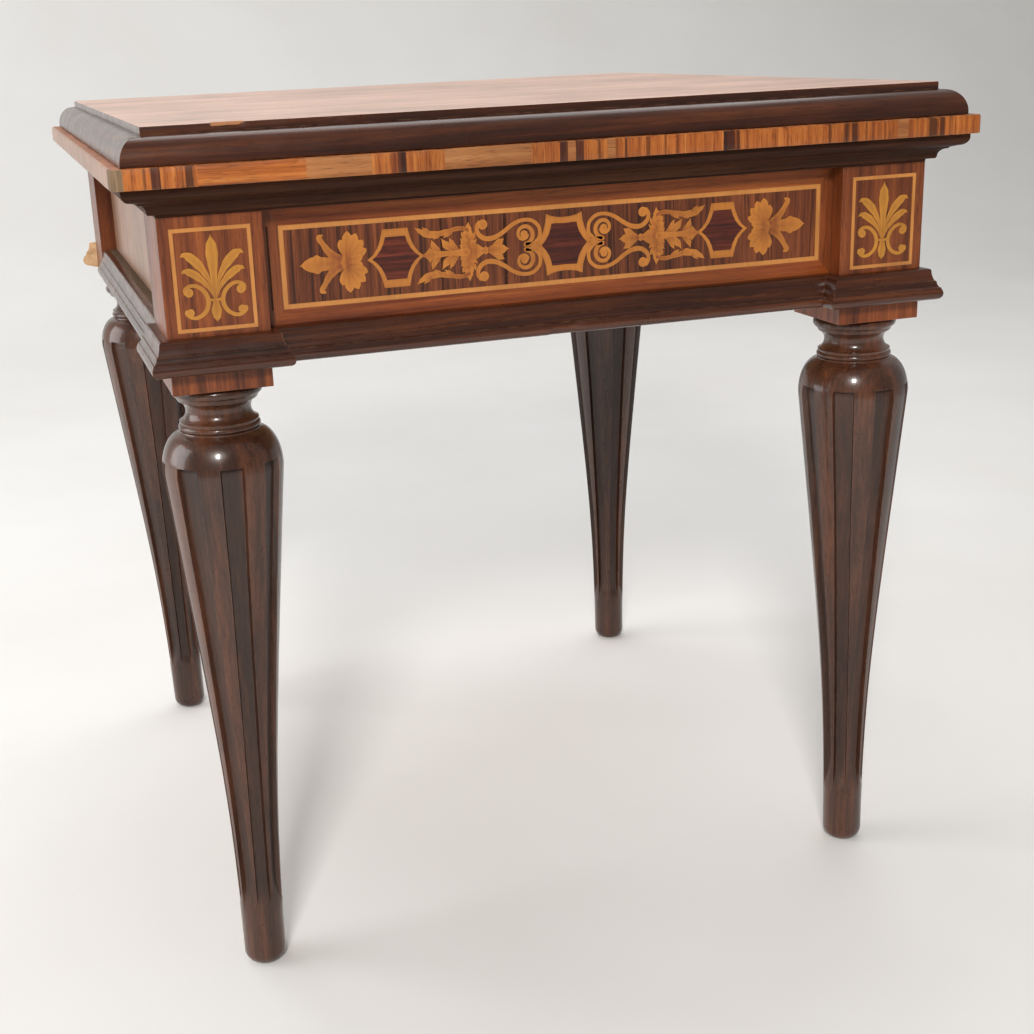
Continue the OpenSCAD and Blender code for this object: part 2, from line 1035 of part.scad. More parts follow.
module cylinder_tube() {
    color(brass)
        difference() {
            disc(cylinder_x0, cylinder_l, cylinder_y, axle_z, cylinder_r);
            disc(cylinder_x0 - 1, cylinder_l + 2, cylinder_y, axle_z, cylinder_r - tube_wall);
        }
}

module cylinder_caps() {
    color(brass)
        difference() {
            for (x = [cylinder_x0, cylinder_x1 - cap_t])
                disc(x, cap_t, cylinder_y, axle_z, cylinder_r - tube_wall);
            disc(cylinder_x0 - 1, cylinder_l + 2, cylinder_y, axle_z, axle_r + fit);
        }
}

module cylinder_cement() {
    color([0.25, 0.2, 0.16])
        difference() {
            disc(cylinder_x0 + cap_t, cylinder_l - 2 * cap_t, cylinder_y, axle_z, cylinder_r - tube_wall);
            disc(cylinder_x0, cylinder_l, cylinder_y, axle_z, axle_r + 1);
        }
}

// ---- Governor ----

second_dir = 205;
second_pinion = 12;
second_teeth = 36;
second_module = 0.5;
third_pinion = 9;
worm_teeth = 16;
worm_module = 0.6;
worm_r = 2;
second_gap = great_module * (great_teeth + second_pinion) / 2;
second_y = cylinder_y + second_gap * cos(second_dir);
second_z = axle_z + second_gap * sin(second_dir);
third_y = second_y - second_module * (second_teeth + third_pinion) / 2;
fan_x = 127.5;
fan_y = third_y - worm_module * worm_teeth / 2 - worm_r;
plate_x0 = 112;
plate_x1 = 140;
plate_t = 3;
plate_y = -36;
plate_w = 35;
pillar_r = 1.8;
pillars = [[-5, 49], [-33, 14]];
second_x = 119;
second_t = 1.5;
third_x = 118;
third_t = 3.5;
worm_wheel_t = 2;
second_r = 1.2;
third_r = 1;
fan_r = 0.8;
z_cock = axle_z + 20;
z_step = z_top + 6;
cock_t = 3;
cock_w = 12;

module governor_frame() {
    color(brass)
        difference() {
            union() {
                for (x = [plate_x0, plate_x1])
                    translate([x, plate_y, z_top])
                        cube([plate_t, plate_w, z_cock - z_top]);
                for (p = pillars)
                    disc(plate_x0, plate_x1 - plate_x0 + plate_t, p[0], z_top + p[1], pillar_r);
            }
            disc(plate_x0 - 1, plate_x1, second_y, second_z, second_r + fit);
            disc(plate_x0 - 1, plate_x1, third_y, second_z, third_r + fit);
        }
}

module governor_cocks() {
    color(brass)
        difference() {
            union() {
                translate([plate_x0, fan_y - cock_w / 2, z_cock])
                    cube([plate_x1 - plate_x0 + plate_t, cock_w, cock_t]);
                translate([plate_x0 + plate_t, fan_y - cock_w / 2, z_step])
                    cube([plate_x1 - plate_x0 - plate_t, cock_w, cock_t]);
            }
            translate([fan_x, fan_y, z_top])
                cylinder(r = fan_r + fit, h = 80);
        }
}

module second_arbor() {
    color(steel) {
        disc(great_x - 1, 38, second_y, second_z, second_r);
        wheel(great_x - 0.2, great_t + 0.4, second_y, second_z, second_pinion, great_module,
            second_dir + 180 + 180 / second_pinion, 0.5);
    }
}

// The second wheel has a tooth on the line to the third arbor
module second_wheel() {
    color(brass)
        wheel(second_x, second_t, second_y, second_z, second_teeth, second_module, 180, second_r);
}

module third_arbor() {
    color(steel) {
        disc(plate_x0, 31, third_y, second_z, third_r);
        wheel(third_x, third_t, third_y, second_z, third_pinion, second_module, 180 / third_pinion, 0.5);
    }
}

module worm_wheel() {
    color(brass)
        wheel(fan_x - worm_wheel_t / 2, worm_wheel_t, third_y, second_z,
            worm_teeth, worm_module, 180, third_r);
}

module fan_arbor() {
    color(steel)
        translate([fan_x, fan_y, z_step + 0.5])
            cylinder(r = fan_r, h = z_cock - z_step + cock_t - 1);
}

// One-start thread; its gap faces the tooth of the worm wheel on the line between the axes
worm_lead = PI * worm_module;
worm_turns = 4;
worm_steps = 12;
thread_angle = 80;
module endless_screw() {
    color(steel)
        translate([fan_x, fan_y, second_z - worm_lead * worm_turns / 2])
            difference() {
                linear_extrude(worm_lead * worm_turns, twist = -360 * worm_turns,
                    slices = worm_steps * worm_turns, segments = 12, $fn = 12)
                    polygon(concat(
                        arc(0, 0, 2.45, 2.45, 270 - thread_angle / 2, 270 + thread_angle / 2, 4),
                        arc(0, 0, 1.3, 1.3, 270 + thread_angle / 2, 630 - thread_angle / 2, 6)));
                translate([0, 0, -1])
                    cylinder(r = fan_r, h = worm_lead * worm_turns + 2, $fn = 16);
            }
}

vane_w = 20;
vane_h = 15;
vane_t = 0.6;
fan_hub_r = 1.8;
fan_hub_h = 17;
fan_arm_l = 8;
fan_arm_t = 1.2;
collar_h = 4;
module fan() {
    color(brass)
        translate([fan_x, fan_y, axle_z])
            difference() {
                union() {
                    cylinder(r = fan_hub_r, h = fan_hub_h);
                    translate([-vane_w / 2, -vane_t / 2, 1])
                        cube([vane_w, vane_t, vane_h]);
                    translate([0, -fan_arm_t / 2, -3.4])
                        cube([fan_arm_l, fan_arm_t, fan_arm_t]);
                    translate([0, 0, 0.2 - collar_h])
                        cylinder(r = fan_hub_r, h = collar_h);
                }
                translate([0, 0, -collar_h - 1])
                    cylinder(r = fan_r, h = collar_h + fan_hub_h + 2);
            }
}

// ---- Control levers ----

pivot_x = 150;
start_y = -50;
change_y = 46;
lever_z = 1;
lever_t = 2;
handle_x = 204;
handle_h = 22;
finger_h = 1.4;
finger_w = 1.2;
boss_r = 5;
ball_r = 5;
ball_up = 3;
start_tip_y = -37;
change_tip_y = 34;
start_finger_down = 3.5;
change_finger_down = 12.6;

// A flat lever on an upright pivot, with a handle at one end and a raised finger at the other
module control_lever(y, inner_x, finger_z, tip_y) {
    z = z_top + lever_z;
    post_h = finger_z - z;
    difference() {
        union() {
            translate([inner_x, y - boss_r / 2, z])
                cube([handle_x - inner_x, boss_r, lever_t]);
            translate([pivot_x, y, z])
                cylinder(r = boss_r, h = lever_t);
            translate([inner_x, y, z])
                cylinder(r = 1.6, h = post_h + finger_h);
            translate([inner_x - finger_w / 2, min(y, tip_y), finger_z])
                cube([finger_w, abs(tip_y - y), finger_h]);
            translate([handle_x, y, z])
                cylinder(r = 4, h = lever_t);
            translate([handle_x, y, z])
                cylinder(r1 = 3, r2 = 2, h = handle_h);
            translate([handle_x, y, z + handle_h + ball_up])
                sphere(ball_r);
        }
        translate([pivot_x, y, z - 1])
            cylinder(r = pivot_r + fit, h = lever_t + 2);
    }
}

module start_lever() {
    color(brass)
        control_lever(start_y, fan_x, axle_z - start_finger_down, start_tip_y);
}

module change_lever() {
    color(brass)
        control_lever(change_y, star_x + star_t / 2, axle_z - change_finger_down, change_tip_y);
}

top_board();
top_mouldings();
banded_board();
lid_hinge_leaves();
lid_hinge_screws();
leg_front_left();
leg_front_right();
leg_back_left();
leg_back_right();
leg_blocks();
leg_bolts();
corner_posts();
panel_front();
panel_right();
panel_back();
panel_left();
cornice_mouldings();
base_mouldings();
bottom_board();
partitions();
movement_rails();
case_hinge_leaves();
case_hinge_screws();
hinge_pins();
glass_frame();
glass_pane();
bedplate();
movement_screws();
comb_base();
comb();
left_bridge();
middle_bridge();
right_bridge();
governor_frame();
governor_cocks();
winding_lever();
winding_knob();
winding_pawl();
click();
barrel_arbor();
ratchet_wheels();
barrel_drum();
barrel_cover();
mainspring();
cylinder_arbor();
cylinder_pinion();
great_wheel();
change_star();
cylinder_tube();
cylinder_caps();
cylinder_cement();
second_arbor();
second_wheel();
third_arbor();
worm_wheel();
fan_arbor();
endless_screw();
fan();
start_lever();
change_lever();
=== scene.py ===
import math
import random

import bmesh
import bpy
from mathutils import Matrix, Vector, noise


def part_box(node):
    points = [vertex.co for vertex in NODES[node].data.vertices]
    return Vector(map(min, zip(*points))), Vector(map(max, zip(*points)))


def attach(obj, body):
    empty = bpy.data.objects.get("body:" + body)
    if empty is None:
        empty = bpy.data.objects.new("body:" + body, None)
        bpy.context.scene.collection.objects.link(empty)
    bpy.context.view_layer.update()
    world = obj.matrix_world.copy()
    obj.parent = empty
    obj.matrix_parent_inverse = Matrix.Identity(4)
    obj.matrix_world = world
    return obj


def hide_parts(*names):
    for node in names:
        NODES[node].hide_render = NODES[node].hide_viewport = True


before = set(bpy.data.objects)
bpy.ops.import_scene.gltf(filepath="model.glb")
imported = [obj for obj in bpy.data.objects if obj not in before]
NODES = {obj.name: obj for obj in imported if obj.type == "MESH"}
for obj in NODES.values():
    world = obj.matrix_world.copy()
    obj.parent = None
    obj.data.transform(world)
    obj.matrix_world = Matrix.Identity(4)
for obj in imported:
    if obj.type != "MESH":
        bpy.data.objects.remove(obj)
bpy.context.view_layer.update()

MM = 0.001


def low(node):
    """Lowest corner of a CAD node, in millimetres."""
    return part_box(node)[0] / MM


def high(node):
    """Highest corner of a CAD node, in millimetres."""
    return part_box(node)[1] / MM


# ---- Driving dimensions, in millimetres, read from the frame ----

TABLE_H = high("top_board").z
TOP_HALF = high("top_board").x
Z_EDGE = high("top_mouldings").z
Z_OVOLO = low("top_mouldings").z
Z_LID = low("banded_board").z
BAND_HALF = high("banded_board").x
Z_CASE = high("cornice_mouldings").z
Z_CORNICE = low("cornice_mouldings").z
Z_BASE = high("base_mouldings").z
Z_BOTTOM = low("base_mouldings").z
CASE_HALF = high("corner_posts").x
FACE = -low("panel_front").y
POST_IN = high("panel_front").x
RECESS = CASE_HALF - FACE
LEG_H = high("leg_front_left").z


# ---- Camera ----

def make_camera():
    azimuth, elevation, roll = (math.radians(a) for a in (16.936, -17.877, -2.448))
    forward = Vector((math.sin(azimuth) * math.cos(elevation), math.cos(azimuth) * math.cos(elevation),
                      math.sin(elevation)))
    level = Vector((math.cos(azimuth), -math.sin(azimuth), 0))
    right = math.cos(roll) * level + math.sin(roll) * level.cross(forward)
    up = right.cross(forward)
    data = bpy.data.cameras.new("camera")
    data.sensor_width = 36
    data.lens = 52.41
    data.shift_x = 0.0542
    data.shift_y = 0.0025
    camera = bpy.data.objects.new("camera", data)
    camera.matrix_world = Matrix.Translation((-0.33874, -1.10693, 0.59085)) @ Matrix(
        (right, up, -forward)).transposed().to_4x4()
    bpy.context.scene.collection.objects.link(camera)
    bpy.context.scene.camera = camera


# ---- Materials ----

def tone(r, g, b):
    """A colour written as on a paint card, 10 to 255, as linear light."""
    return tuple(((c / 255 + 0.055) / 1.055) ** 2.4 for c in (r, g, b)) + (1,)


mats = {}


class Shade:
    """One material's nodes, with a short call for each kind that is used here. It is kept in mats."""

    def __init__(self, name):
        mats[name] = bpy.data.materials.new(name)
        mats[name].use_nodes = True
        self.tree = mats[name].node_tree
        self.tree.nodes.clear()
        self.bsdf = self.node("ShaderNodeBsdfPrincipled")
        out = self.node("ShaderNodeOutputMaterial")
        self.tree.links.new(self.bsdf.outputs["BSDF"], out.inputs["Surface"])
        self.place = self.node("ShaderNodeTexCoord").outputs["Object"]

    def node(self, kind, **settings):
        made = self.tree.nodes.new(kind)
        for key, value in settings.items():
            setattr(made, key, value)
        return made

    def put(self, socket, value):
        if isinstance(value, bpy.types.NodeSocket):
            self.tree.links.new(value, socket)
        else:
            socket.default_value = value

    def set(self, **inputs):
        for key, value in inputs.items():
            self.put(self.bsdf.inputs[key.replace("_", " ")], value)

    def stretched(self, scale, vector=None):
        made = self.node("ShaderNodeMapping")
        self.put(made.inputs["Vector"], vector or self.place)
        made.inputs["Scale"].default_value = scale
        return made.outputs["Vector"]

    def noise(self, vector, scale=1.0, detail=2.0, rough=0.5, twist=0.0):
        made = self.node("ShaderNodeTexNoise")
        self.put(made.inputs["Vector"], vector)
        for key, value in (("Scale", scale), ("Detail", detail), ("Roughness", rough), ("Distortion", twist)):
            made.inputs[key].default_value = value
        return made.outputs["Fac"]

    def ramp(self, fac, *stops):
        made = self.node("ShaderNodeValToRGB")
        self.put(made.inputs["Fac"], fac)
        points = made.color_ramp.elements
        while len(points) < len(stops):
            points.new(0.5)
        for point, (at, colour) in zip(points, stops):
            point.position = at
            point.color = colour if isinstance(colour, tuple) else (colour, colour, colour, 1)
        return made.outputs["Color"]

    def mix(self, fac, a, b, blend="MIX"):
        made = self.node("ShaderNodeMix", data_type="RGBA", blend_type=blend)
        self.put(made.inputs[0], fac)
        self.put(made.inputs[6], a)
        self.put(made.inputs[7], b)
        return made.outputs[2]

    def math(self, operation, a, b=0.0, clamp=False):
        made = self.node("ShaderNodeMath", operation=operation, use_clamp=clamp)
        self.put(made.inputs[0], a)
        self.put(made.inputs[1], b)
        return made.outputs[0]

    def bump(self, height, depth):
        made = self.node("ShaderNodeBump")
        made.inputs["Distance"].default_value = depth
        self.put(made.inputs["Height"], height)
        self.set(Normal=made.outputs["Normal"])

    def edges(self, radius):
        """1 along sharp edges and 0 on flat ground."""
        soft = self.node("ShaderNodeBevel", samples=4)
        soft.inputs["Radius"].default_value = radius
        hard = self.node("ShaderNodeNewGeometry").outputs["Normal"]
        dot = self.node("ShaderNodeVectorMath", operation="DOT_PRODUCT")
        self.put(dot.inputs[0], soft.outputs["Normal"])
        self.put(dot.inputs[1], hard)
        return self.math("MULTIPLY", self.math("SUBTRACT", 1.0, dot.outputs["Value"]), 6.0, clamp=True)


def along(axis, across, length):
    """A scale for coordinates that stretches a pattern along one axis."""
    return tuple(length if i == axis else across for i in range(3))


def deepened(*card):
    """A wood's colour under old polish: darker and redder than the bare wood."""
    red, green, blue, alpha = tone(*card)
    return (red * 0.80, green * 0.73, blue * 0.62, alpha)


def shaded(colour, part):
    """The same colour with less light."""
    return tuple(c * part for c in colour[:3]) + (1,)


def wood(name, dark, mid, light, axis=2, broad=110, fine=520, gloss=0.38, coat=0.15, coat_gloss=0.2,
         streak=0.0, streak_width=52, streak_from=0.57, pores=0.5, worn=None, wear=0.0, relief=0.00003,
         shine=0.35, shaded_hollows=False):
    """Polished wood whose grain runs along one axis: broad and fine stripes, dark streaks, pores and wear.

    With shaded_hollows, it is darker where the mesh's hollow attribute is high: painted shade in the flute
    hollows."""
    s = Shade(name)
    dark, mid, light = (deepened(*colour) for colour in (dark, mid, light))
    drift = s.noise(s.stretched(along(axis, 9, 3)), detail=1.0)
    bent = s.node("ShaderNodeVectorMath", operation="MULTIPLY_ADD")
    s.put(bent.inputs[0], drift)
    bent.inputs[1].default_value = along(axis, 0.014, 0)
    s.put(bent.inputs[2], s.place)
    place = bent.outputs["Vector"]
    wide = s.noise(s.stretched(along(axis, broad, broad / 34), place), detail=4.0, rough=0.6, twist=0.3)
    thin = s.noise(s.stretched(along(axis, fine, fine / 45), place), detail=3.0, rough=0.65)
    grain = s.math("ADD", s.math("MULTIPLY", wide, 0.62), s.math("MULTIPLY", thin, 0.38))
    colour = s.ramp(grain, (0.34, dark), (0.5, mid), (0.66, light))
    if streak:
        band = s.noise(s.stretched(along(axis, streak_width, 1.2), place), detail=2.0, rough=0.55)
        mask = s.ramp(band, (streak_from, 0.0), (streak_from + 0.07, streak))
        colour = s.mix(mask, colour, shaded(dark, 0.22))
    pore = s.ramp(s.noise(s.stretched(along(axis, 1900, 95), place), detail=1.0), (0.58, 0.0), (0.68, 1.0))
    colour = s.mix(s.math("MULTIPLY", pore, pores), colour, shaded(dark, 0.35))
    cloud = s.noise(s.place, scale=11, detail=3.0)
    clouds = s.ramp(cloud, (0.3, (0.78, 0.76, 0.75, 1)), (0.7, (1.18, 1.15, 1.12, 1)))
    colour = s.mix(1.0, colour, clouds, "MULTIPLY")
    rough = s.math("ADD", s.math("MULTIPLY", s.noise(s.place, scale=60, detail=4.0), 0.22), gloss - 0.11)
    # Painted shade: darker and rougher where the hollow attribute is high, standing for the shade in the
    # flutes.
    if shaded_hollows:
        painted_shade = s.node("ShaderNodeAttribute", attribute_name="hollow").outputs["Fac"]
        colour = s.mix(s.math("MULTIPLY", painted_shade, 0.42), colour, shaded(dark, 0.3))
        rough = s.math("ADD", rough, s.math("MULTIPLY", painted_shade, 0.25), clamp=True)
    if wear:
        patchy = s.ramp(s.noise(s.place, scale=140, detail=4.0), (0.42, 0.0), (0.62, 1.0))
        mask = s.math("MULTIPLY", s.math("MULTIPLY", s.edges(0.0011), patchy), wear)
        colour = s.mix(mask, colour, tone(*worn))
        rough = s.math("ADD", rough, s.math("MULTIPLY", mask, 0.3), clamp=True)
    s.set(Base_Color=colour, Roughness=rough, Coat_Weight=coat, Coat_Roughness=coat_gloss,
          Specular_IOR_Level=shine)
    height = s.math("SUBTRACT", s.math("MULTIPLY", thin, 0.5), s.math("MULTIPLY", pore, 0.6))
    s.bump(height, relief)


def marquetry(name, light, deep):
    """Light veneer, toasted darker where its "toast" attribute is high."""
    s = Shade(name)
    light, deep = deepened(*light), deepened(*deep)
    between = tuple((a + b) / 2 for a, b in zip(light, deep))
    toast = s.node("ShaderNodeAttribute", attribute_name="toast").outputs["Fac"]
    grain = s.noise(s.stretched((500, 500, 90)), detail=3.0, rough=0.6)
    amount = s.math("ADD", toast, s.math("MULTIPLY", s.math("SUBTRACT", grain, 0.5), 0.7), clamp=True)
    colour = s.ramp(amount, (0.0, light), (0.55, between), (1.0, deep))
    cloud = s.noise(s.place, scale=45, detail=3.0)
    clouds = s.ramp(cloud, (0.3, (0.84, 0.82, 0.8, 1)), (0.7, (1.08, 1.07, 1.05, 1)))
    colour = s.mix(1.0, colour, clouds, "MULTIPLY")
    rough = s.math("ADD", s.math("MULTIPLY", s.noise(s.place, scale=90, detail=3.0), 0.2), 0.28)
    s.set(Base_Color=colour, Roughness=rough, Coat_Weight=0.3, Coat_Roughness=0.2)
    s.bump(grain, 0.00004)


def metal(name, clean, dull, rough=0.28, scratch=(900, 60, 900), pitted=0.00003, edge=None):
    """Bare metal with tarnish in clouds, fine scratches and brighter rubbed edges."""
    s = Shade(name)
    clean, dull = tone(*clean), tone(*dull)
    cloud = s.noise(s.place, scale=55, detail=5.0, rough=0.65)
    spots = s.ramp(s.noise(s.place, scale=420, detail=3.0), (0.58, 0.0), (0.72, 0.7))
    colour = s.ramp(cloud, (0.35, dull), (0.62, clean))
    colour = s.mix(spots, colour, shaded(dull, 0.55))
    if edge:
        colour = s.mix(s.edges(0.0005), colour, tone(*edge))
    lines = s.noise(s.stretched(scratch), detail=3.0, rough=0.6)
    finish = s.math("ADD", s.math("MULTIPLY", s.math("ADD", lines, cloud), 0.18), rough - 0.18)
    s.set(Base_Color=colour, Metallic=1.0, Roughness=s.math("ADD", finish, s.math("MULTIPLY", spots, 0.2)))
    s.bump(s.math("ADD", lines, s.math("MULTIPLY", cloud, 0.5)), pitted)


def coated(name, face, deep, rough, coat, grain_scale, relief):
    """A matt or lacquered body colour with grain and dust."""
    s = Shade(name)
    face, deep = tone(*face), tone(*deep)
    dusty = tuple(min(1, c * 2.2) for c in face[:3]) + (1,)
    grain = s.noise(s.place, scale=grain_scale, detail=4.0, rough=0.6)
    colour = s.ramp(grain, (0.3, deep), (0.7, face))
    dust = s.noise(s.place, scale=30, detail=4.0)
    colour = s.mix(s.ramp(dust, (0.5, 0.0), (0.8, 0.25)), colour, dusty)
    s.set(Base_Color=colour, Roughness=s.math("ADD", s.math("MULTIPLY", grain, 0.25), rough - 0.12),
          Coat_Weight=coat, Coat_Roughness=0.2)
    s.bump(grain, relief)


def clear_glass():
    s = Shade("clear_glass")
    smear = s.noise(s.stretched((40, 12, 40)), detail=4.0)
    s.set(Base_Color=tone(236, 246, 242), Transmission_Weight=1.0, IOR=1.5,
          Roughness=s.ramp(smear, (0.5, 0.01), (0.75, 0.09)))
    s.bump(s.noise(s.place, scale=14, detail=1.0), 0.00005)


def floor_paint():
    s = Shade("floor_paint")
    cloud = s.noise(s.place, scale=3, detail=3.0)
    paint = s.ramp(cloud, (0.3, tone(228, 226, 223)), (0.7, tone(233, 232, 230)))
    s.set(Base_Color=paint, Roughness=0.85)


# Colours as on a paint card. A wood's three are those of its dark, middle and light grain.
BARE = (168, 132, 92)
PALE_WEAR = (142, 100, 66)
DEAL = ((132, 92, 56), (170, 126, 80), (196, 156, 106))
ORANGE = ((120, 58, 22), (180, 104, 46), (208, 136, 70))


def case_woods():
    # The top veneer's pale pinkish colour is partly its wood and partly painted sheen, the reflection of
    # bright light at a grazing angle.
    wood("top_veneer", (196, 160, 150), (222, 190, 182), (238, 210, 204), axis=0, broad=70, fine=420,
         gloss=0.42, coat=0.3, coat_gloss=0.35, pores=0.3, shine=0.5)
    wood("rosewood", (72, 36, 20), (116, 62, 34), (154, 88, 50), broad=240, fine=900, streak=0.7,
         streak_width=330, worn=PALE_WEAR, wear=0.5)
    # A paler copy of rosewood for the left faces: painted sheen, the wash of light from the left, is in its
    # colour.
    wood("rosewood_side", (136, 98, 78), (172, 132, 110), (194, 158, 136), streak=0.2, worn=PALE_WEAR,
         wear=0.5, coat=0.3, coat_gloss=0.3, shine=0.6)
    wood("rosewood_warm", (84, 40, 20), (128, 68, 36), (160, 92, 48), streak=0.35, streak_width=150,
         worn=PALE_WEAR, wear=0.6)
    wood("block_wood", (84, 42, 22), (132, 70, 36), (170, 98, 54), streak=0.3, streak_width=220,
         worn=PALE_WEAR, wear=0.4)
    wood("border_level", (110, 48, 18), (150, 78, 34), (178, 104, 50), axis=0, broad=140, pores=0.35)
    wood("cartouche_fill", (44, 15, 10), (92, 36, 24), (134, 64, 44), axis=0, broad=330, fine=700, pores=0.6)
    for name, axis, polish in (("dark_moulding", 0, 0.14), ("dark_moulding_y", 1, 0.2)):
        wood(name, (40, 20, 12), (70, 36, 21), (104, 58, 32), axis=axis, broad=120, gloss=0.3, coat=0.35,
             coat_gloss=polish, pores=0.4, worn=(136, 98, 70), wear=0.6)
    # The cornice wood is a darker, duller copy of the moulding wood: painted shade, the shade under the band,
    # is in its colour.
    for name, axis in (("cornice_wood", 0), ("cornice_shaded_wood_y", 1)):
        wood(name, (40, 22, 14), (62, 36, 23), (84, 52, 34), axis=axis, broad=120, gloss=0.6, coat=0.0,
             pores=0.4, worn=(96, 68, 50), wear=0.4, shine=0.15)
    wood("ledge", (78, 62, 50), (112, 94, 78), (150, 132, 114), axis=1, broad=60, gloss=0.7, coat=0.0,
         pores=0.3)
    # The leg wood paints shade into its flute hollows.
    wood("leg_wood", (44, 27, 20), (76, 48, 36), (112, 70, 50), broad=60, gloss=0.3, coat=0.45,
         coat_gloss=0.1, worn=(118, 84, 62), wear=0.6, relief=0.000015, shaded_hollows=True)
    wood("deal", *DEAL, axis=1, broad=60, gloss=0.6, coat=0.0, pores=0.2)
    wood("bare_wood", (170, 130, 92), (204, 168, 130), (226, 198, 164), axis=0, gloss=0.7, coat=0.0,
         pores=0.2)


def banding_woods():
    wood("banding_striped", *ORANGE, broad=260, fine=640, streak=0.85, streak_width=190, gloss=0.46,
         coat=0.05, worn=BARE, wear=0.7)
    wood("banding_worn", (138, 86, 48), (172, 114, 68), (194, 140, 92), axis=0, broad=120, gloss=0.6,
         coat=0.0, worn=BARE, wear=0.5)
    wood("banding_dark", (44, 20, 12), (78, 36, 18), (110, 58, 30), broad=230, gloss=0.46, coat=0.05,
         worn=BARE, wear=0.6)
    wood("banding_figured", *ORANGE, axis=0, broad=210, fine=560, streak=1.0, streak_width=260,
         streak_from=0.53, gloss=0.46, coat=0.05, worn=BARE, wear=0.6)
    wood("banding_grey", (96, 78, 62), (132, 112, 92), (160, 140, 116), broad=160, gloss=0.7, coat=0.0,
         worn=BARE, wear=0.8)


def inlays():
    marquetry("string", (222, 158, 84), (176, 104, 44))
    marquetry("leaf_orange", (214, 142, 56), (146, 76, 22))
    marquetry("leaf_gold", (214, 154, 56), (150, 88, 22))


def movement_materials():
    metal("brass", (214, 172, 92), (156, 112, 50), edge=(238, 208, 140))
    metal("brass_spun", (216, 178, 100), (172, 128, 62), rough=0.22, scratch=(60, 1400, 1400))
    metal("steel", (198, 200, 204), (140, 140, 144), rough=0.26, edge=(226, 228, 232))
    metal("blued_steel", (44, 62, 120), (24, 30, 62), rough=0.22, edge=(120, 130, 160))
    coated("iron", (52, 54, 54), (26, 27, 28), 0.36, 0.5, 600, 0.00008)
    coated("cement", (76, 60, 46), (44, 34, 26), 0.75, 0.0, 300, 0.0002)
    clear_glass()


def dress(obj, name):
    """Gives a CAD node one of the materials above."""
    obj.data.materials.clear()
    obj.data.materials.append(mats[name])


# ---- Mesh helpers ----

def placed(name, bm):
    """An object in the scene from a bmesh drawn in millimetres."""
    bm.transform(Matrix.Scale(MM, 4))
    mesh = bpy.data.meshes.new(name)
    bm.to_mesh(mesh)
    bm.free()
    made = bpy.data.objects.new(name, mesh)
    bpy.context.scene.collection.objects.link(made)
    return made


def bridged(bm, a, b, kind=0, closed=True):
    """Faces between two rows of points, which are rings unless closed is false."""
    for i in range(len(a) if closed else len(a) - 1):
        k = (i + 1) % len(a)
        bm.faces.new((a[i], b[i], b[k], a[k])).material_index = kind


# A flat face with more corners than this is shaded flat
MANY_SIDES = 12


def finished(name, bm, material, body, smooth=38, replaces=()):
    """Turns a bmesh drawn in millimetres into a piece that rides on a body."""
    bmesh.ops.recalc_face_normals(bm, faces=bm.faces)
    piece = placed(name, bm)
    mesh = piece.data
    mesh.shade_smooth()
    mesh.set_sharp_from_angle(angle=math.radians(smooth))
    for polygon in mesh.polygons:
        if polygon.loop_total > MANY_SIDES:
            polygon.use_smooth = False
    for each in [material] if isinstance(material, str) else material:
        mesh.materials.append(mats[each])
    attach(piece, body)
    if replaces:
        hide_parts(*replaces)
    return piece


def refined(node, material, width):
    """A copy of a node of the case with clean flat faces and softened edges, which stands for that node."""
    bm = bmesh.new()
    bm.from_mesh(NODES[node].data)
    bm.transform(Matrix.Scale(1 / MM, 4))
    bmesh.ops.remove_doubles(bm, verts=bm.verts, dist=0.002)
    bmesh.ops.dissolve_limit(bm, angle_limit=math.radians(1), verts=bm.verts, edges=bm.edges)
    piece = finished(node + "_finished", bm, material, "case", replaces=[node])
    bevel = piece.modifiers.new("softened_edges", "BEVEL")
    bevel.width = width * MM
    bevel.segments = 2
    bevel.limit_method = "ANGLE"
    bevel.angle_limit = math.radians(35)
    bevel.harden_normals = True


def arc(cx, cy, rx, ry, start, end, steps=12):
    turns = [math.radians(start + (end - start) * i / steps) for i in range(steps + 1)]
    return [(cx + rx * math.cos(t), cy + ry * math.sin(t)) for t in turns]


def filleted(points, radius, sharper_than=24):
    """Rounds the corners of a closed outline, and leaves its drawn curves alone."""
    out = []
    count = len(points)
    for i, (x, y) in enumerate(points):
        here = Vector((x, y))
        back = Vector(points[i - 1]) - here
        ahead = Vector(points[(i + 1) % count]) - here
        turn = math.pi - back.angle(ahead, 0.0)
        if math.degrees(turn) < sharper_than:
            out.append((x, y))
            continue
        reach = min(radius, back.length * 0.4, ahead.length * 0.4)
        a = here + back.normalized() * reach
        b = here + ahead.normalized() * reach
        for k in range(5):
            t = k / 4
            point = a * (1 - t) ** 2 + here * 2 * t * (1 - t) + b * t ** 2
            out.append(tuple(point))
    return out


def worn_in(co, amount, scale=0.02, seed=0.0):
    """How far a surface point is rubbed back, in millimetres: broad unevenness, never outwards."""
    n = noise.noise(Vector(co) * scale + Vector((seed, seed, seed)))
    return amount * (0.5 + 0.5 * n)


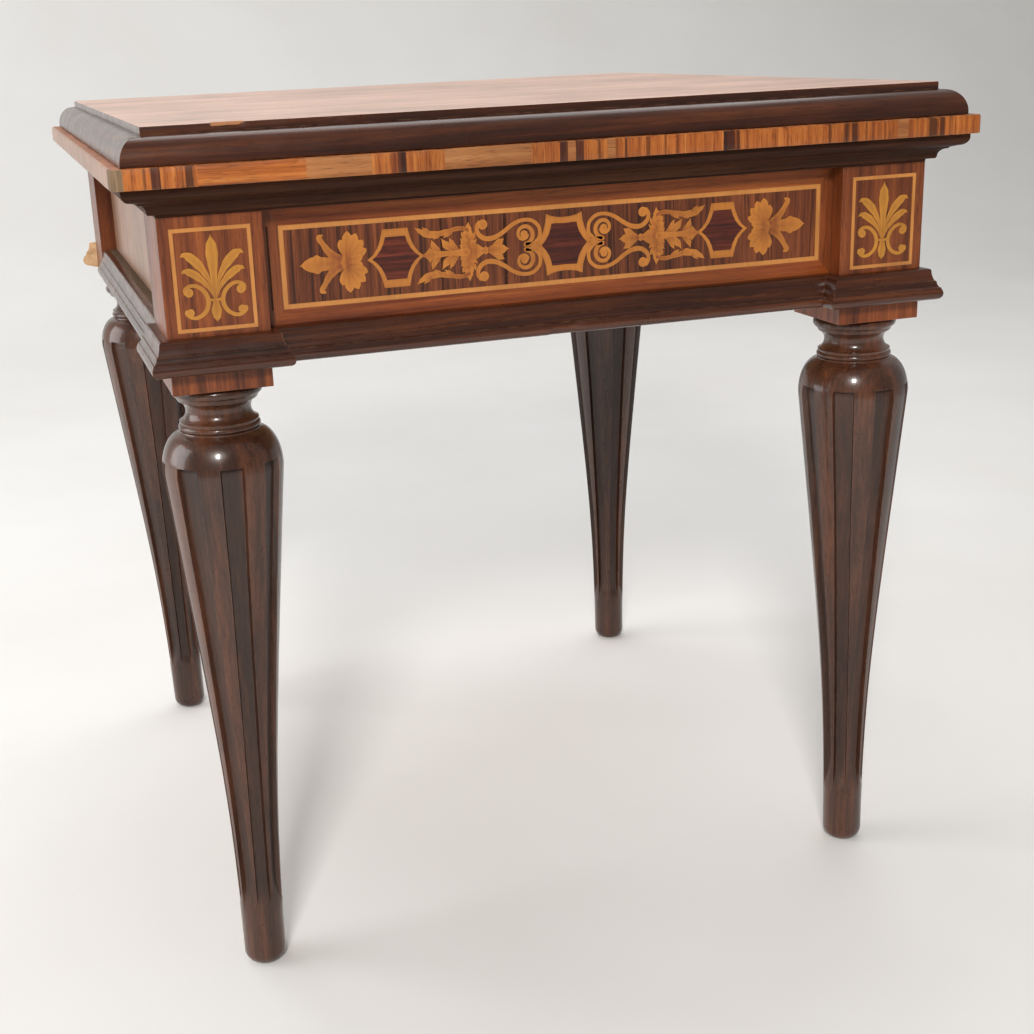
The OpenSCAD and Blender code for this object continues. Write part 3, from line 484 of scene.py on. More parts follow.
def swept(profile, corners, step=9.0, uneven=0.05, seed=0, opens_towards=None):
    """A moulding: a closed profile of (out, height) carried along a level line of corners.

    The corners run anticlockwise seen from above, and each is mitred. The line is closed, unless a point is
    given towards which its last mitre faces: then its first end is square and both ends are capped.
    Material 0 is for lengths along X, 1 for lengths along Y and 2 for the caps."""
    bm = bmesh.new()
    count = len(corners)
    is_open = opens_towards is not None
    rings, sides = [], []

    def square_to(a):
        return Vector((a.y, -a.x))

    def mitre(a, b):
        return (square_to(a) + square_to(b)) / (1 + square_to(a).dot(square_to(b)))

    def ring_at(at, way, out, worn):
        ring = []
        for o, z in profile:
            p = at + way * o
            dip = worn_in((p.x, p.y, z), uneven, 0.03, seed) if worn else 0.0
            p -= out * min(dip, max(o, 0))
            ring.append(bm.verts.new((p.x, p.y, z)))
        return ring

    for i in range(count - 1 if is_open else count):
        here, ahead = Vector(corners[i]), Vector(corners[(i + 1) % count])
        run = (ahead - here).normalized()
        out = square_to(run)
        last = is_open and i == count - 2
        after = Vector(opens_towards) if last else Vector(corners[(i + 2) % count])
        if is_open and i == 0:
            start = out
        else:
            start = mitre((here - Vector(corners[i - 1])).normalized(), run)
        end = mitre(run, (after - ahead).normalized())
        pieces = max(1, round((ahead - here).length / step))
        for k in range(pieces):
            rings.append(ring_at(here.lerp(ahead, k / pieces), start.lerp(end, k / pieces), out, k > 0))
            sides.append(0 if abs(run.x) > 0.5 else 1)
        if last:
            rings.append(ring_at(ahead, end, out, False))
    for i in range(len(sides)):
        bridged(bm, rings[i], rings[(i + 1) % len(rings)], sides[i])
    if is_open:
        for cap in (bm.faces.new(rings[0]), bm.faces.new(rings[-1])):
            cap.material_index = 2
    return bm


def square(half):
    return [(-half, -half), (half, -half), (half, half), (-half, half)]


# ---- Lid ----

# Width of the top board's edge outside the part that the mouldings are glued to
REBATE = 26


def top_mouldings():
    """The rounded moulding under the edge of the top board."""
    height = Z_EDGE - Z_OVOLO
    outline = [(0, 0), (39.7, 0)] + arc(28.3, 1.5, 11.4, 14.2, 0, 90, 24) + [(REBATE, height), (0, height)]
    outline = [(x, z + Z_OVOLO) for x, z in outline]
    bm = swept(filleted(outline, 0.5), square(TOP_HALF - REBATE), seed=3)
    finished("top_mouldings_finished", bm, ("dark_moulding", "dark_moulding_y"), "lid",
             replaces=["top_mouldings"])


# Where the arris of the front edge has chipped, from and to
CHIP = (-214, -196)


def top_board():
    """The flat top: veneered face, dark lipped edge with its arris worn back unevenly."""
    profile = [(-REBATE, Z_OVOLO), (-REBATE, Z_EDGE), (0, Z_EDGE)]
    profile += [(0, TABLE_H - 0.8), (-0.2, TABLE_H - 0.25), (-0.7, TABLE_H)]
    edge_top, arris = 3, 4
    bm = bmesh.new()
    corners = square(TOP_HALF)
    per_side = round(2 * TOP_HALF / 3.0)
    rings, bare = [], []
    for i in range(4):
        a, b = Vector(corners[i]), Vector(corners[(i + 1) % 4])
        run = (b - a).normalized()
        out = Vector((run.y, -run.x))
        for k in range(per_side):
            at = a.lerp(b, k / per_side)
            bite = max(0.0, noise.noise(Vector((at.x, at.y, 7)) * 0.06) - 0.2) * 1.2
            chipped = i == 0 and CHIP[0] < at.x < CHIP[1]
            if chipped:
                bite = 1.5 + 0.8 * noise.noise(Vector((at.x, 3, 3)) * 0.3)
            way = out
            if k == 0:
                bite, way = 0.0, out - run
            ring = []
            for j, (o, z) in enumerate(profile):
                p = at + way * (o - (bite if j >= arris else 0.0))
                ring.append(bm.verts.new((p.x, p.y, z - (bite * 0.6 if j == edge_top else 0.0))))
            rings.append(ring)
            bare.append(chipped)
    for a, b, chipped in zip(rings, rings[1:] + rings[:1], bare):
        for j in range(len(profile) - 1):
            face = bm.faces.new((a[j], b[j], b[j + 1], a[j + 1]))
            face.material_index = 2 if chipped and j >= edge_top else (0 if j == arris else 1)
    # The top face takes material 0, the top veneer with its painted sheen.
    bm.faces.new([r[-1] for r in rings]).material_index = 0
    bm.faces.new([r[0] for r in reversed(rings)]).material_index = 1
    finished("top_board_finished", bm, ("top_veneer", "dark_moulding", "banding_worn"), "lid",
             replaces=["top_board"])


# Veneers along the front edge of the banded board: the x at which each ends, in millimetres, and its kind
STRIPED, WORN, DARK_BAND, FIGURED, GREY, PLAIN_SHEEN = range(6)
FRONT_BANDING = (
    (-266, GREY), (-250, STRIPED), (-246, DARK_BAND), (-227, STRIPED), (-166, FIGURED), (-128, WORN),
    (-113, STRIPED), (-108, DARK_BAND), (-85, STRIPED), (-33, WORN), (-17, STRIPED), (-11, DARK_BAND),
    (-7, WORN), (-2, DARK_BAND), (13, STRIPED), (19, WORN), (88, STRIPED), (95, DARK_BAND),
    (208, STRIPED), (217, WORN), (272, STRIPED))
BANDING = ("banding_striped", "banding_worn", "banding_dark", "banding_figured", "banding_grey",
           "rosewood_side")


def banding_kind(side, along_side):
    """Kind of the veneer at a distance along one side of the banded board."""
    if side == 0:
        return next((kind for end, kind in FRONT_BANDING if along_side - BAND_HALF < end), STRIPED)
    # The left side's plain veneer takes the pale copy of rosewood, with painted sheen.
    if side == 3:
        return GREY if along_side > 2 * BAND_HALF - 12 else PLAIN_SHEEN
    return STRIPED


def banded_board():
    """The cross-banded board, with mortises for the hinge leaves in its underside."""
    height = Z_OVOLO - Z_LID
    profile = [(-1.2, 0.0), (-0.35, 0.12), (0, 0.6), (0, height * 0.35), (0, height * 0.65),
               (0, height - 0.8), (-0.4, height - 0.15), (-1.3, height)]
    bm = bmesh.new()
    corners = square(BAND_HALF)
    corner_r, step = 4.5, 2.5
    rings, kinds = [], []
    for i in range(4):
        a, b = Vector(corners[i]), Vector(corners[(i + 1) % 4])
        run = (b - a).normalized()
        out = Vector((run.y, -run.x))
        centre = a + (run - out) * corner_r
        path = []
        for t in (math.radians(-90 + 90 * k / 6) for k in range(6)):
            way = out * math.cos(t) + run * math.sin(t)
            path.append((centre + way * corner_r, way))
        straight = 2 * (BAND_HALF - corner_r)
        count = round(straight / step)
        path += [(a + run * (corner_r + straight * k / count), out) for k in range(count)]
        for at, way in path:
            ragged = max(0.0, noise.noise(Vector((at.x, at.y, 3)) * 0.16))
            splinters = max(0.0, noise.noise(Vector((at.x, at.y, 9)) * 0.9))
            rough_top = 0.55 * ragged + 0.25 * splinters
            ring = []
            for j, (o, z) in enumerate(profile):
                torn = rough_top if j >= 5 else 0.0
                p = at + way * (o - (worn_in((at.x, at.y, z * 4), 0.25, 0.05) + torn))
                ring.append(bm.verts.new((p.x, p.y, Z_LID + z - torn * 0.8)))
            rings.append(ring)
            kinds.append(banding_kind(i, (at - a).dot(run)))
    for a, b, kind in zip(rings, rings[1:] + rings[:1], kinds):
        bridged(bm, a, b, kind, closed=False)
    bm.faces.new([r[-1] for r in rings]).material_index = STRIPED
    bm.faces.new([r[0] for r in reversed(rings)]).material_index = WORN
    board = finished("banded_board_finished", bm, BANDING, "lid", replaces=["banded_board"])
    cut_in(board, hinge_mortises())


def hinge_mortises():
    """Room for the hinge leaves and the knuckles, with a little play."""
    leaf_l, leaf_w, leaf_t, knuckle_r, play = 50, 24, 1.2, 2.3, 0.2
    room_l, room_w, room_h, room_behind = 51, 12, 5.4, 3.4
    outer = high("lid_hinge_leaves")
    axis_y = outer.y - knuckle_r
    cutter = bmesh.new()
    for x in (leaf_l / 2 - outer.x, outer.x - leaf_l / 2):
        leaf = bmesh.ops.create_cube(cutter, size=1.0)["verts"]
        bmesh.ops.scale(cutter, vec=(leaf_l + play, leaf_w + play, 2 * leaf_t), verts=leaf)
        bmesh.ops.translate(cutter, vec=(x, axis_y - leaf_w / 2, Z_LID), verts=leaf)
        room = bmesh.ops.create_cube(cutter, size=1.0)["verts"]
        bmesh.ops.scale(cutter, vec=(room_l, room_w, room_h), verts=room)
        bmesh.ops.translate(cutter, vec=(x, axis_y + room_behind, Z_LID), verts=room)
    return cutter


def cut_in(piece, cutter):
    """Cuts the solids of a bmesh drawn in millimetres out of a piece."""
    tool = placed("cutter", cutter)
    mesh = tool.data
    cut = piece.modifiers.new("cut", "BOOLEAN")
    cut.operation = "DIFFERENCE"
    cut.solver = "EXACT"
    cut.use_self = True
    cut.object = tool
    bpy.context.view_layer.update()
    baked = bpy.data.meshes.new_from_object(piece.evaluated_get(bpy.context.evaluated_depsgraph_get()))
    piece.modifiers.clear()
    old = piece.data
    piece.data = baked
    baked.name = old.name + "_cut"
    bpy.data.objects.remove(tool)
    bpy.data.meshes.remove(mesh)


# ---- Case mouldings ----

def cornice():
    out = RECESS
    outline = [(0, 0), (out + 19.2, 0), (out + 19.2, -2.2)]
    outline += arc(out + 14.1, -2.2, 5.1, 5.0, 0, -90, 12)
    outline += [(out + 10.3, -8.3)]
    outline += arc(out + 9.9, -14.0, 4.9, 4.9, 90, 180, 12)
    outline += [(out + 4.4, -15.4), (out, -15.4), (out, Z_CORNICE - Z_CASE), (0, Z_CORNICE - Z_CASE)]
    outline = [(x, z + Z_CASE) for x, z in outline]
    bm = swept(filleted(outline, 0.4), square(FACE), seed=5)
    # The cornice takes the darker copy of the moulding wood, with painted shade.
    finished("cornice_mouldings_finished", bm, ("cornice_wood", "cornice_shaded_wood_y"), "case",
             replaces=["cornice_mouldings"])


# Width of the packing strip that carries the moulding on the left panel
PACKING = 6.0
# Where the lip of the front base moulding has chipped, from and to, and how far out and down the lip begins
LIP_CHIP = (-12, 5)
LIP_OUT, LIP_DOWN = 8.2, 13


def base_mouldings():
    """The base moulding breaks forward round each block. Its length round the back left one is lost."""
    outline = [(0, 0), (4.4, -0.5), (5.3, -1.2)]
    outline += arc(13.0, -1.2, 7.6, 11.0, 183, 220, 8)
    outline += [(7.9, -8.3)]
    outline += arc(13.4, -8.2, 5.4, 6.0, 190, 225, 6)
    outline += [(10.3, -12.5)]
    outline += arc(8.4, -16.4, 3.0, 3.9, 48, -70, 14)
    outline += [(8.6, -20.4), (0, Z_BOTTOM - Z_BASE)]
    outline = [(x, z + Z_BASE) for x, z in outline]
    edge = FACE + PACKING
    path = [(-edge, POST_IN), (-edge, -POST_IN), (-CASE_HALF, -POST_IN), (-CASE_HALF, -CASE_HALF),
            (-POST_IN, -CASE_HALF)]
    corner = [(-POST_IN, -FACE), (POST_IN, -FACE), (POST_IN, -CASE_HALF), (CASE_HALF, -CASE_HALF),
              (CASE_HALF, -POST_IN)]
    for turn in range(3):
        c, s = round(math.cos(turn * math.pi / 2)), round(math.sin(turn * math.pi / 2))
        path += [(x * c - y * s, x * s + y * c) for x, y in corner]
    path = path[:-1]
    bm = swept(filleted(outline, 0.35), path, step=4.0, seed=8, opens_towards=(-CASE_HALF, POST_IN))
    for vert in bm.verts:
        on_lip = vert.co.y < -FACE - LIP_OUT and vert.co.z < Z_BASE - LIP_DOWN
        if on_lip and LIP_CHIP[0] < vert.co.x < LIP_CHIP[1]:
            vert.co.y += 1.3 + 0.5 * noise.noise(vert.co * 0.4)
    packing = [(-edge, Z_BOTTOM), (-FACE, Z_BOTTOM), (-FACE, Z_BASE), (-edge, Z_BASE)]
    ends = [[bm.verts.new((x, y, z)) for x, z in packing] for y in (-POST_IN, POST_IN)]
    bridged(bm, *ends, kind=3)
    for end in ends:
        bm.faces.new(end).material_index = 3
    woods = ("dark_moulding", "dark_moulding_y", "bare_wood", "ledge")
    finished("base_mouldings_finished", bm, woods, "case", replaces=["base_mouldings"])


# ---- Legs ----

FOOT_R = 13.6
SHOULDER_Z = LEG_H - 52.5
SHOULDER_H, SHOULDER_OUT = 23.6, 12.8
LEG_BLOCK_W = 59
LEG_AT = CASE_HALF - LEG_BLOCK_W / 2
TOE, TOE_H = 7.0, 8.0


def shaft_r(z):
    """Radius of the tapered shaft: nearly straight at the foot, then a steady flare."""
    return FOOT_R + 3.92 * math.log(1 + math.exp((z - 109) / 40))


def body_r(z):
    """Radius of the shaft, and of the round shoulder above it."""
    if z < SHOULDER_Z:
        return shaft_r(z)
    up = (z - SHOULDER_Z) / SHOULDER_H
    return shaft_r(SHOULDER_Z) - SHOULDER_OUT * (1 - math.sqrt(max(0.0, 1 - up * up)))


FLUTES = 8
FLUTE_FROM = 44.0
FLUTE_TO = SHOULDER_Z + 6.7
FLUTE_DEEP = 3.9


def leg_outline():
    outline = [(shaft_r(TOE_H) - TOE, 0.0)] + arc(shaft_r(TOE_H) - TOE, TOE_H, TOE, TOE_H, -80, 0, 9)
    steps = 96
    heights = [TOE_H + (SHOULDER_Z - TOE_H) * i / steps for i in range(1, steps + 1)]
    heights += [SHOULDER_Z + d for d in (1.5, 3, 4.4, 9, 11, 13, 15, 17, 18.6, 20, 21.2, 22.2, 23, 23.5)]
    heights += [FLUTE_TO + d for d in (-1.4, -0.7, -0.25, 0.0, 0.25, 1.0)]
    outline += [(body_r(z), z) for z in sorted(heights)]
    outline += [(24.5, LEG_H - 28.4), (24.3, LEG_H - 27.6)]
    outline += arc(22.9, LEG_H - 25.7, 1.9, 2.0, -70, 70, 10)
    outline += arc(26.3, LEG_H - 15.7, 6.6, 6.8, 250, 110, 18)
    outline += arc(24.9, LEG_H - 3.6, 2.6, 3.2, -80, 75, 12)
    return outline + [(24.9, LEG_H + 0.6)]


def flute_half(r):
    """Half of the angle that a flute takes up, in degrees, where the leg has radius r."""
    wide = 4.7 + 1.7 * (r - 14.7) / 22.1
    return math.degrees(math.asin(max(0.2, min(0.36, wide / r))))


# Places across a flute in parts of its half-width, and then across half of the land beside it
ACROSS_FLUTE = (-1.0, -0.97, -0.9, -0.7, -0.4, 0.0, 0.4, 0.7, 0.9, 0.97, 1.0)
ACROSS_LAND = (0.12, 0.5, 0.88)


def flute_section(r, z):
    """Angles and depths across one flute and one land: steep walls, a hollow floor, square at the top."""
    half = flute_half(r)
    run_out = max(0.0, min(1.0, (z - FLUTE_FROM) / 22))
    fade = math.sin(run_out * math.pi / 2)
    if z > FLUTE_TO:
        fade = 0.0
    elif z > FLUTE_TO - 0.5:
        fade *= 0.35
    section = []
    for part in ACROSS_FLUTE:
        side = abs(part)
        edge = 0.0 if side > 0.99 else (0.42 if side > 0.95 else 0.8)
        section.append((part * half, FLUTE_DEEP * fade * edge * (1.25 - 0.25 * side * side)))
    land = 360 / FLUTES - 2 * half
    return section + [(half + land * part, 0.0) for part in ACROSS_LAND]


def leg(name, sx, sy, foot, turn, seed):
    """A turned and fluted leg, tilted about the middle of its top so that its foot moves in x."""
    outline = leg_outline()
    bm = bmesh.new()
    hollow = bm.verts.layers.float.new("hollow")
    rings = []
    lean = Matrix.Rotation(-math.asin(foot / LEG_H), 3, "Y")
    top = Vector((sx * LEG_AT, sy * LEG_AT, LEG_H))
    for r, z in outline:
        ring = []
        section = flute_section(r, z)
        for flute in range(FLUTES):
            for offset, depth in section:
                t = math.radians(360 / FLUTES * flute + offset + turn)
                radius = r - depth
                co = Vector((math.cos(t) * radius, math.sin(t) * radius, z))
                radius -= worn_in(co, 0.1, 0.05, seed)
                p = top + lean @ Vector((math.cos(t) * radius, math.sin(t) * radius, z - LEG_H))
                p.z = min(max(p.z, 0.0), LEG_H)
                vert = bm.verts.new(p)
                # The hollow attribute is the flute's depth. The leg wood paints shade by it.
                vert[hollow] = min(1.0, depth / FLUTE_DEEP)
                ring.append(vert)
        rings.append(ring)
    for lower, upper in zip(rings, rings[1:]):
        bridged(bm, lower, upper)
    bm.faces.new(list(reversed(rings[0])))
    bm.faces.new(rings[-1])
    finished(name + "_turned", bm, "leg_wood", "case", replaces=[name], smooth=32)


# ---- Marquetry ----

def curve_through(points, per=8):
    """A smooth line through points in a plane (Catmull-Rom)."""
    pts = [Vector(p) for p in points]
    pts = [2 * pts[0] - pts[1]] + pts + [2 * pts[-1] - pts[-2]]
    line = []
    for i in range(1, len(pts) - 2):
        a, b, c, d = pts[i - 1:i + 3]
        for k in range(per):
            t = k / per
            line.append(0.5 * ((2 * b) + (c - a) * t + (2 * a - 5 * b + 4 * c - d) * t * t
                               + (3 * b - a - 3 * c + d) * t ** 3))
    return line + [pts[-2]]


def blended(values, t):
    """Value at t (0 to 1) of a list of evenly spaced values."""
    place = t * (len(values) - 1)
    i = min(int(place), len(values) - 2)
    f = place - i
    f = f * f * (3 - 2 * f)
    return values[i] * (1 - f) + values[i + 1] * f


class Veneer:
    """Thin inlaid pieces in a face that looks to the front, from the design's centre: u right, v up."""

    ACROSS = (-1.0, -0.55, 0.0, 0.55, 1.0)

    def __init__(self, origin):
        self.bm = bmesh.new()
        self.toast = self.bm.verts.layers.float.new("toast")
        self.origin = Vector(origin)
        self.lift = 0.14
        self.flips = ((1, 1),)

    def point(self, uv, depth, flip):
        return self.origin + Vector((uv[0] * flip[0], -depth, uv[1] * flip[1]))

    def solid(self, rows, toasts):
        """A thin closed solid over a grid of (u, v) rows, once for each mirror image."""
        for flip in self.flips:
            front, back = [], []
            for row, shades in zip(rows, toasts):
                f, b = [], []
                for uv, shade in zip(row, shades):
                    for layer, depth in ((f, self.lift), (b, -0.25)):
                        vert = self.bm.verts.new(self.point(uv, depth, flip))
                        vert[self.toast] = shade
                        layer.append(vert)
                front.append(f)
                back.append(b)
            n, m = len(rows), len(rows[0])
            for layer in (front, back):
                for row, after in zip(layer, layer[1:]):
                    bridged(self.bm, row, after, closed=False)
            rim = [(i, 0) for i in range(n)] + [(n - 1, j) for j in range(1, m)]
            rim += [(i, m - 1) for i in range(n - 2, -1, -1)] + [(0, j) for j in range(m - 2, 0, -1)]
            bridged(self.bm, [front[i][j] for i, j in rim], [back[i][j] for i, j in rim])
            self.lift += 0.004

    def stroke(self, points, widths, per=8, ripple=0.0, waves=5, toast=(0.75, 0.1), vein=0.25):
        """A leaf or scroll: a smooth line with half-widths, toasted at its root and along its middle."""
        line = curve_through(points, per)
        rows, toasts = [], []
        for i, here in enumerate(line):
            ahead = line[min(i + 1, len(line) - 1)] - line[max(i - 1, 0)]
            side = Vector((-ahead.y, ahead.x)).normalized()
            t = i / (len(line) - 1)
            half = max(0.05, blended(widths, t))
            if ripple:
                half *= 1 + ripple * abs(math.sin(math.pi * waves * t)) - ripple * 0.5
            rows.append([tuple(here + side * half * a) for a in self.ACROSS])
            root = toast[0] * (1 - t) ** 1.5 + toast[1]
            toasts.append([root + vein * (1 - abs(a)) ** 2 * (1 - t * 0.5) for a in self.ACROSS])
        self.solid(rows, toasts)

    def knob(self, centre, radius, toast=0.25):
        """A round bulb, as at the end of a scroll."""
        rows, toasts = [], []
        for k in range(5):
            r = radius * max(0.04, k / 4)
            rows.append(arc(centre[0], centre[1], r, r, 0, 360, 20))
            toasts.append([toast * (1.6 - k / 4)] * 21)
        self.solid(rows, toasts)

    def band(self, outer, inner, toast=0.15):
        """The strip between two outlines that have the same number of points."""
        rows = [[tuple(Vector(a).lerp(Vector(b), f)) for f in (0.0, 0.5, 1.0)] for a, b in zip(outer, inner)]
        self.solid(rows, [[toast + 0.15, toast, toast + 0.15]] * len(rows))

    def frame(self, half_u, low_v, high_v, width, toast=0.2):
        """Four mitred lengths of string round a rectangle."""
        a = [(-half_u, low_v), (half_u, low_v), (half_u, high_v), (-half_u, high_v)]
        b = [(-half_u + width, low_v + width), (half_u - width, low_v + width),
             (half_u - width, high_v - width), (-half_u + width, high_v - width)]
        for i in range(4):
            k = (i + 1) % 4
            self.band([a[i], a[k]], [b[i], b[k]], toast)

    def build(self, name, material):
        return finished(name, self.bm, material, "case", smooth=60)


def mirrored_outline(quarter):
    """A closed outline from its upper right quarter, which runs from the side to the top."""
    half = quarter + [(-u, v) for u, v in reversed(quarter)]
    return half + [(u, -v) for u, v in reversed(half)] + [half[0]]


DESIGN_Z = 465.3
FRONT_SHIFT = 1.0


def spiral(centre, start_r, end_r, start, sweep_deg, steps):
    """Points on a spiral that winds in towards its centre."""
    out = []
    for i in range(steps + 1):
        t = i / steps
        a = math.radians(start + sweep_deg * t)
        r = start_r + (end_r - start_r) * t
        out.append((centre[0] + r * math.cos(a), centre[1] + r * math.sin(a)))
    return out


def front_design():
    origin = (FRONT_SHIFT, -FACE, DESIGN_Z)
    both, across = ((1, 1), (-1, 1), (1, -1), (-1, -1)), ((1, 1), (-1, 1))

    # Mitred border and light string
    border = Veneer(origin)
    half_u, low_v, high_v = 177.2, -24.6, 24.2
    left, right = -POST_IN - FRONT_SHIFT + 4.8, POST_IN - FRONT_SHIFT
    bottom, top = Z_BASE - DESIGN_Z, Z_CORNICE - DESIGN_Z
    border.band([(left, bottom), (right, bottom)], [(-half_u, low_v), (half_u, low_v)])
    border.band([(left, top), (right, top)], [(-half_u, high_v), (half_u, high_v)])
    level = border.build("front_border_level", "border_level")
    upright = Veneer(origin)
    upright.band([(left, bottom), (left, top)], [(-half_u, low_v), (-half_u, high_v)])
    upright.band([(right, bottom), (right, top)], [(half_u, low_v), (half_u, high_v)])
    upright.build("front_border_upright", "rosewood_warm")
    string = Veneer(origin)
    string.lift = 0.18
    string.frame(half_u, low_v, high_v, 2.8)
    string.build("front_string", "string")

    # Dark joints between the veneers of the ground. The widest, beside the left block, is partly a groove and
    # partly painted shadow of the block.
    joints = Veneer(origin)
    joints.lift = 0.03
    for at, wide in ((-38.5, 2.2), (-79, 1.2), (-183, 3.0)):
        near, far = at - wide / 2, at + wide / 2
        joints.band([(near, low_v), (near, high_v)], [(far, low_v), (far, high_v)])
    joints.build("veneer_joints_and_shadow", "cornice_wood")

    # Dark fillings of the three cartouches
    side_q = [(17.7, 0), (14.2, 2.6), (11.3, 6.4), (9.2, 11.5), (7.8, 17.3)]
    side_in = [(14.6, 0), (11.8, 2.3), (9.3, 5.3), (7.4, 9.0), (6.2, 12.7)]
    mid_q = [(19.6, 0), (16.2, 3.6), (13.6, 8.6), (12.2, 13.6), (11.7, 18.8), (8.2, 17.3), (4, 16.5),
             (0.01, 16.3)]
    mid_in = [(15.0, 0), (12.2, 3.2), (10.0, 6.8), (8.9, 10.0), (8.3, 12.8), (5.6, 12.9), (2.8, 12.7),
              (0.01, 12.6)]
    fill = Veneer(origin)
    fill.lift = 0.08
    for centre, quarter in ((0, mid_in), (107.5, side_in), (-107.5, side_in)):
        ring = mirrored_outline(quarter)
        rows = [[(centre + u * f, v * f) for u, v in ring] for f in (0.03, 0.5, 1.04)]
        fill.solid(rows, [[0.0] * len(ring)] * 3)
    fill.build("cartouche_fields", "cartouche_fill")

    art = Veneer(origin)
    for centre, q, q_in in ((0, mid_q, mid_in), (107.5, side_q, side_in), (-107.5, side_q, side_in)):
        outer, inner = mirrored_outline(q), mirrored_outline(q_in)
        art.band([(centre + u, v) for u, v in outer], [(centre + u, v) for u, v in inner], 0.2)

    # Scrolls beside the middle cartouche, each ending in a volute and a bulb
    art.flips = both
    art.stroke([(54.2, 17.6), (56.4, 14.2), (55.2, 9.8), (50.8, 7.0), (45, 7.4), (39.5, 10.2), (33.5, 14.2),
                (27.5, 16.3), (21.5, 15.9), (17.2, 12.6), (15.9, 8.6), (16.6, 5.0), (19.0, 2.6)],
               (1.3, 1.2, 1.4, 1.5, 1.3, 1.2, 1.1, 1.1, 1.1, 1.1, 1.0), toast=(0.2, 0.15), vein=0.1)
    art.knob((52.6, 15.6), 3.0)
    art.stroke([(18.4, 2.0), (21.8, 1.5)] + spiral((26.2, 7.8), 6.3, 2.2, -95, -440, 15),
               (1.2, 1.3, 1.2, 1.0, 0.9, 0.8), toast=(0.2, 0.15), vein=0.1)
    art.knob((26.2, 7.8), 2.3)

    # Leafy crowns and the bud between the scrolls
    art.stroke([(62.5, -1.5), (62.8, 4), (62.3, 9.5), (62.0, 13.5), (61.6, 17.6)], (4.4, 4.2, 3.4, 2.2, 0.2),
               ripple=0.14, waves=7)
    for v, reach, tip in ((2.5, 67.6, 4.4), (6.2, 67.2, 8.4), (9.8, 66.2, 12.2)):
        art.stroke([(62, v - 1), (65, v + 0.4), (reach, tip)], (1.4, 1.5, 0.2), toast=(0.5, 0.2))
    for v, reach, tip in ((5.0, 56.6, 7.4), (8.8, 57.6, 11.6)):
        art.stroke([(62, v - 2), (59, v), (reach, tip)], (1.5, 1.4, 0.2), toast=(0.5, 0.2))
    art.stroke([(61.5, 12.8), (66.5, 14.4), (73, 13.7), (80, 12.2), (87, 12.3), (91.5, 14.2), (95.2, 16.8)],
               (1.0, 1.3, 1.2, 1.7, 2.1, 1.5, 0.15), ripple=0.18, waves=6)
    for u, v, du, dv in ((72, 12.8, 5.6, -3.2), (79, 12.0, 5.2, -2.8), (86, 13.2, 4.6, 3.6)):
        bend, tip = (u + du * 0.55, v + dv * 0.45), (u + du, v + dv)
        art.stroke([(u, v), bend, tip], (0.8, 1.3, 0.15), toast=(0.4, 0.2))
    art.stroke([(79.5, 0.4), (82.3, 2.8), (84.2, 5.6), (85.2, 8.9)], (1.0, 2.0, 1.6, 0.15), ripple=0.12)
    art.stroke([(68.5, 0.6), (72.6, 2.4), (76.2, 5.2), (79.2, 9.4)], (0.9, 1.6, 2.1, 0.15), ripple=0.12)
    art.stroke([(67.5, 0.8), (70.6, 3.6), (72.6, 6.4), (74.0, 9.2)], (0.7, 1.2, 1.3, 0.15), ripple=0.12)
    art.stroke([(88, 0.2), (86.5, 2.2), (86.2, 4.6)], (0.6, 1.5, 0.15))
    art.stroke([(48, 0.6), (44.6, 2.6), (42.2, 4.4), (39.6, 6.1)], (1.0, 2.0, 2.1, 0.3))
    art.stroke([(49, 0.5), (45.5, 1.6), (41.5, 1.6)], (1.2, 1.8, 1.0))

    art.flips = across
    art.stroke([(16, 0), (19, 0), (22, 0)], (1.4, 1.6, 0.6), toast=(0.2, 0.2))
    art.stroke([(91, 0), (86, 0), (80, 0), (72, 0), (64, 0)], (0.6, 3.2, 1.7, 1.5, 2.4), ripple=0.08,
               toast=(0.3, 0.2))
    art.stroke([(62, 0), (57, 0), (52.5, 0), (49.5, 0)], (5.2, 4.4, 1.8, 0.8), toast=(0.6, 0.2))
    art.stroke([(53.5, 0), (51, 0), (48.6, 0)], (0.4, 2.4, 0.5))
    art.stroke([(50, 0), (45, 0), (40.5, 0), (36.3, 0)], (1.2, 2.2, 2.7, 0.2))
    art.knob((63.5, 0), 2.4, 0.5)

    # Flowers at the ends: a toothed leaf, two tendrils and a fan of petals
    art.stroke([(138, 0), (144, 0), (150, 0), (156, 0), (161, 0), (166, 0)], (3.0, 3.4, 3.6, 5.2, 3.6, 0.2),
               ripple=0.14, waves=6, toast=(0.7, 0.1))
    art.knob((137.5, 0), 4.6, 0.55)
    art.flips = both
    art.stroke([(141, 1.5), (145.5, 4.2), (149, 7.8), (151.6, 11.8), (153.6, 15.4), (151.4, 16.9)],
               (2.6, 2.5, 2.0, 1.5, 1.6, 0.6), ripple=0.06)
    for tip_u, tip_v, half in ((141.2, 13.4, 3.0), (136.6, 18.0, 3.3), (131.4, 16.4, 3.2), (127.2, 12.2, 3.0),
                               (125.4, 6.8, 2.8), (128.0, 2.2, 2.4)):
        root = Vector((137.2, 1.6))
        tip = Vector((tip_u, tip_v))
        widths = [half * w for w in (0.25, 0.4, 0.58, 0.74, 0.88, 0.92, 0.86, 0.62, 0.1)]
        line = [tuple(root.lerp(tip, f)) for f in (0.0, 0.35, 0.7, 1.0)]
        art.stroke(line, widths, toast=(0.8, 0.05), vein=0.3)
    art.build("front_arabesque", "leaf_orange")


PALMETTE_AT = 217.4


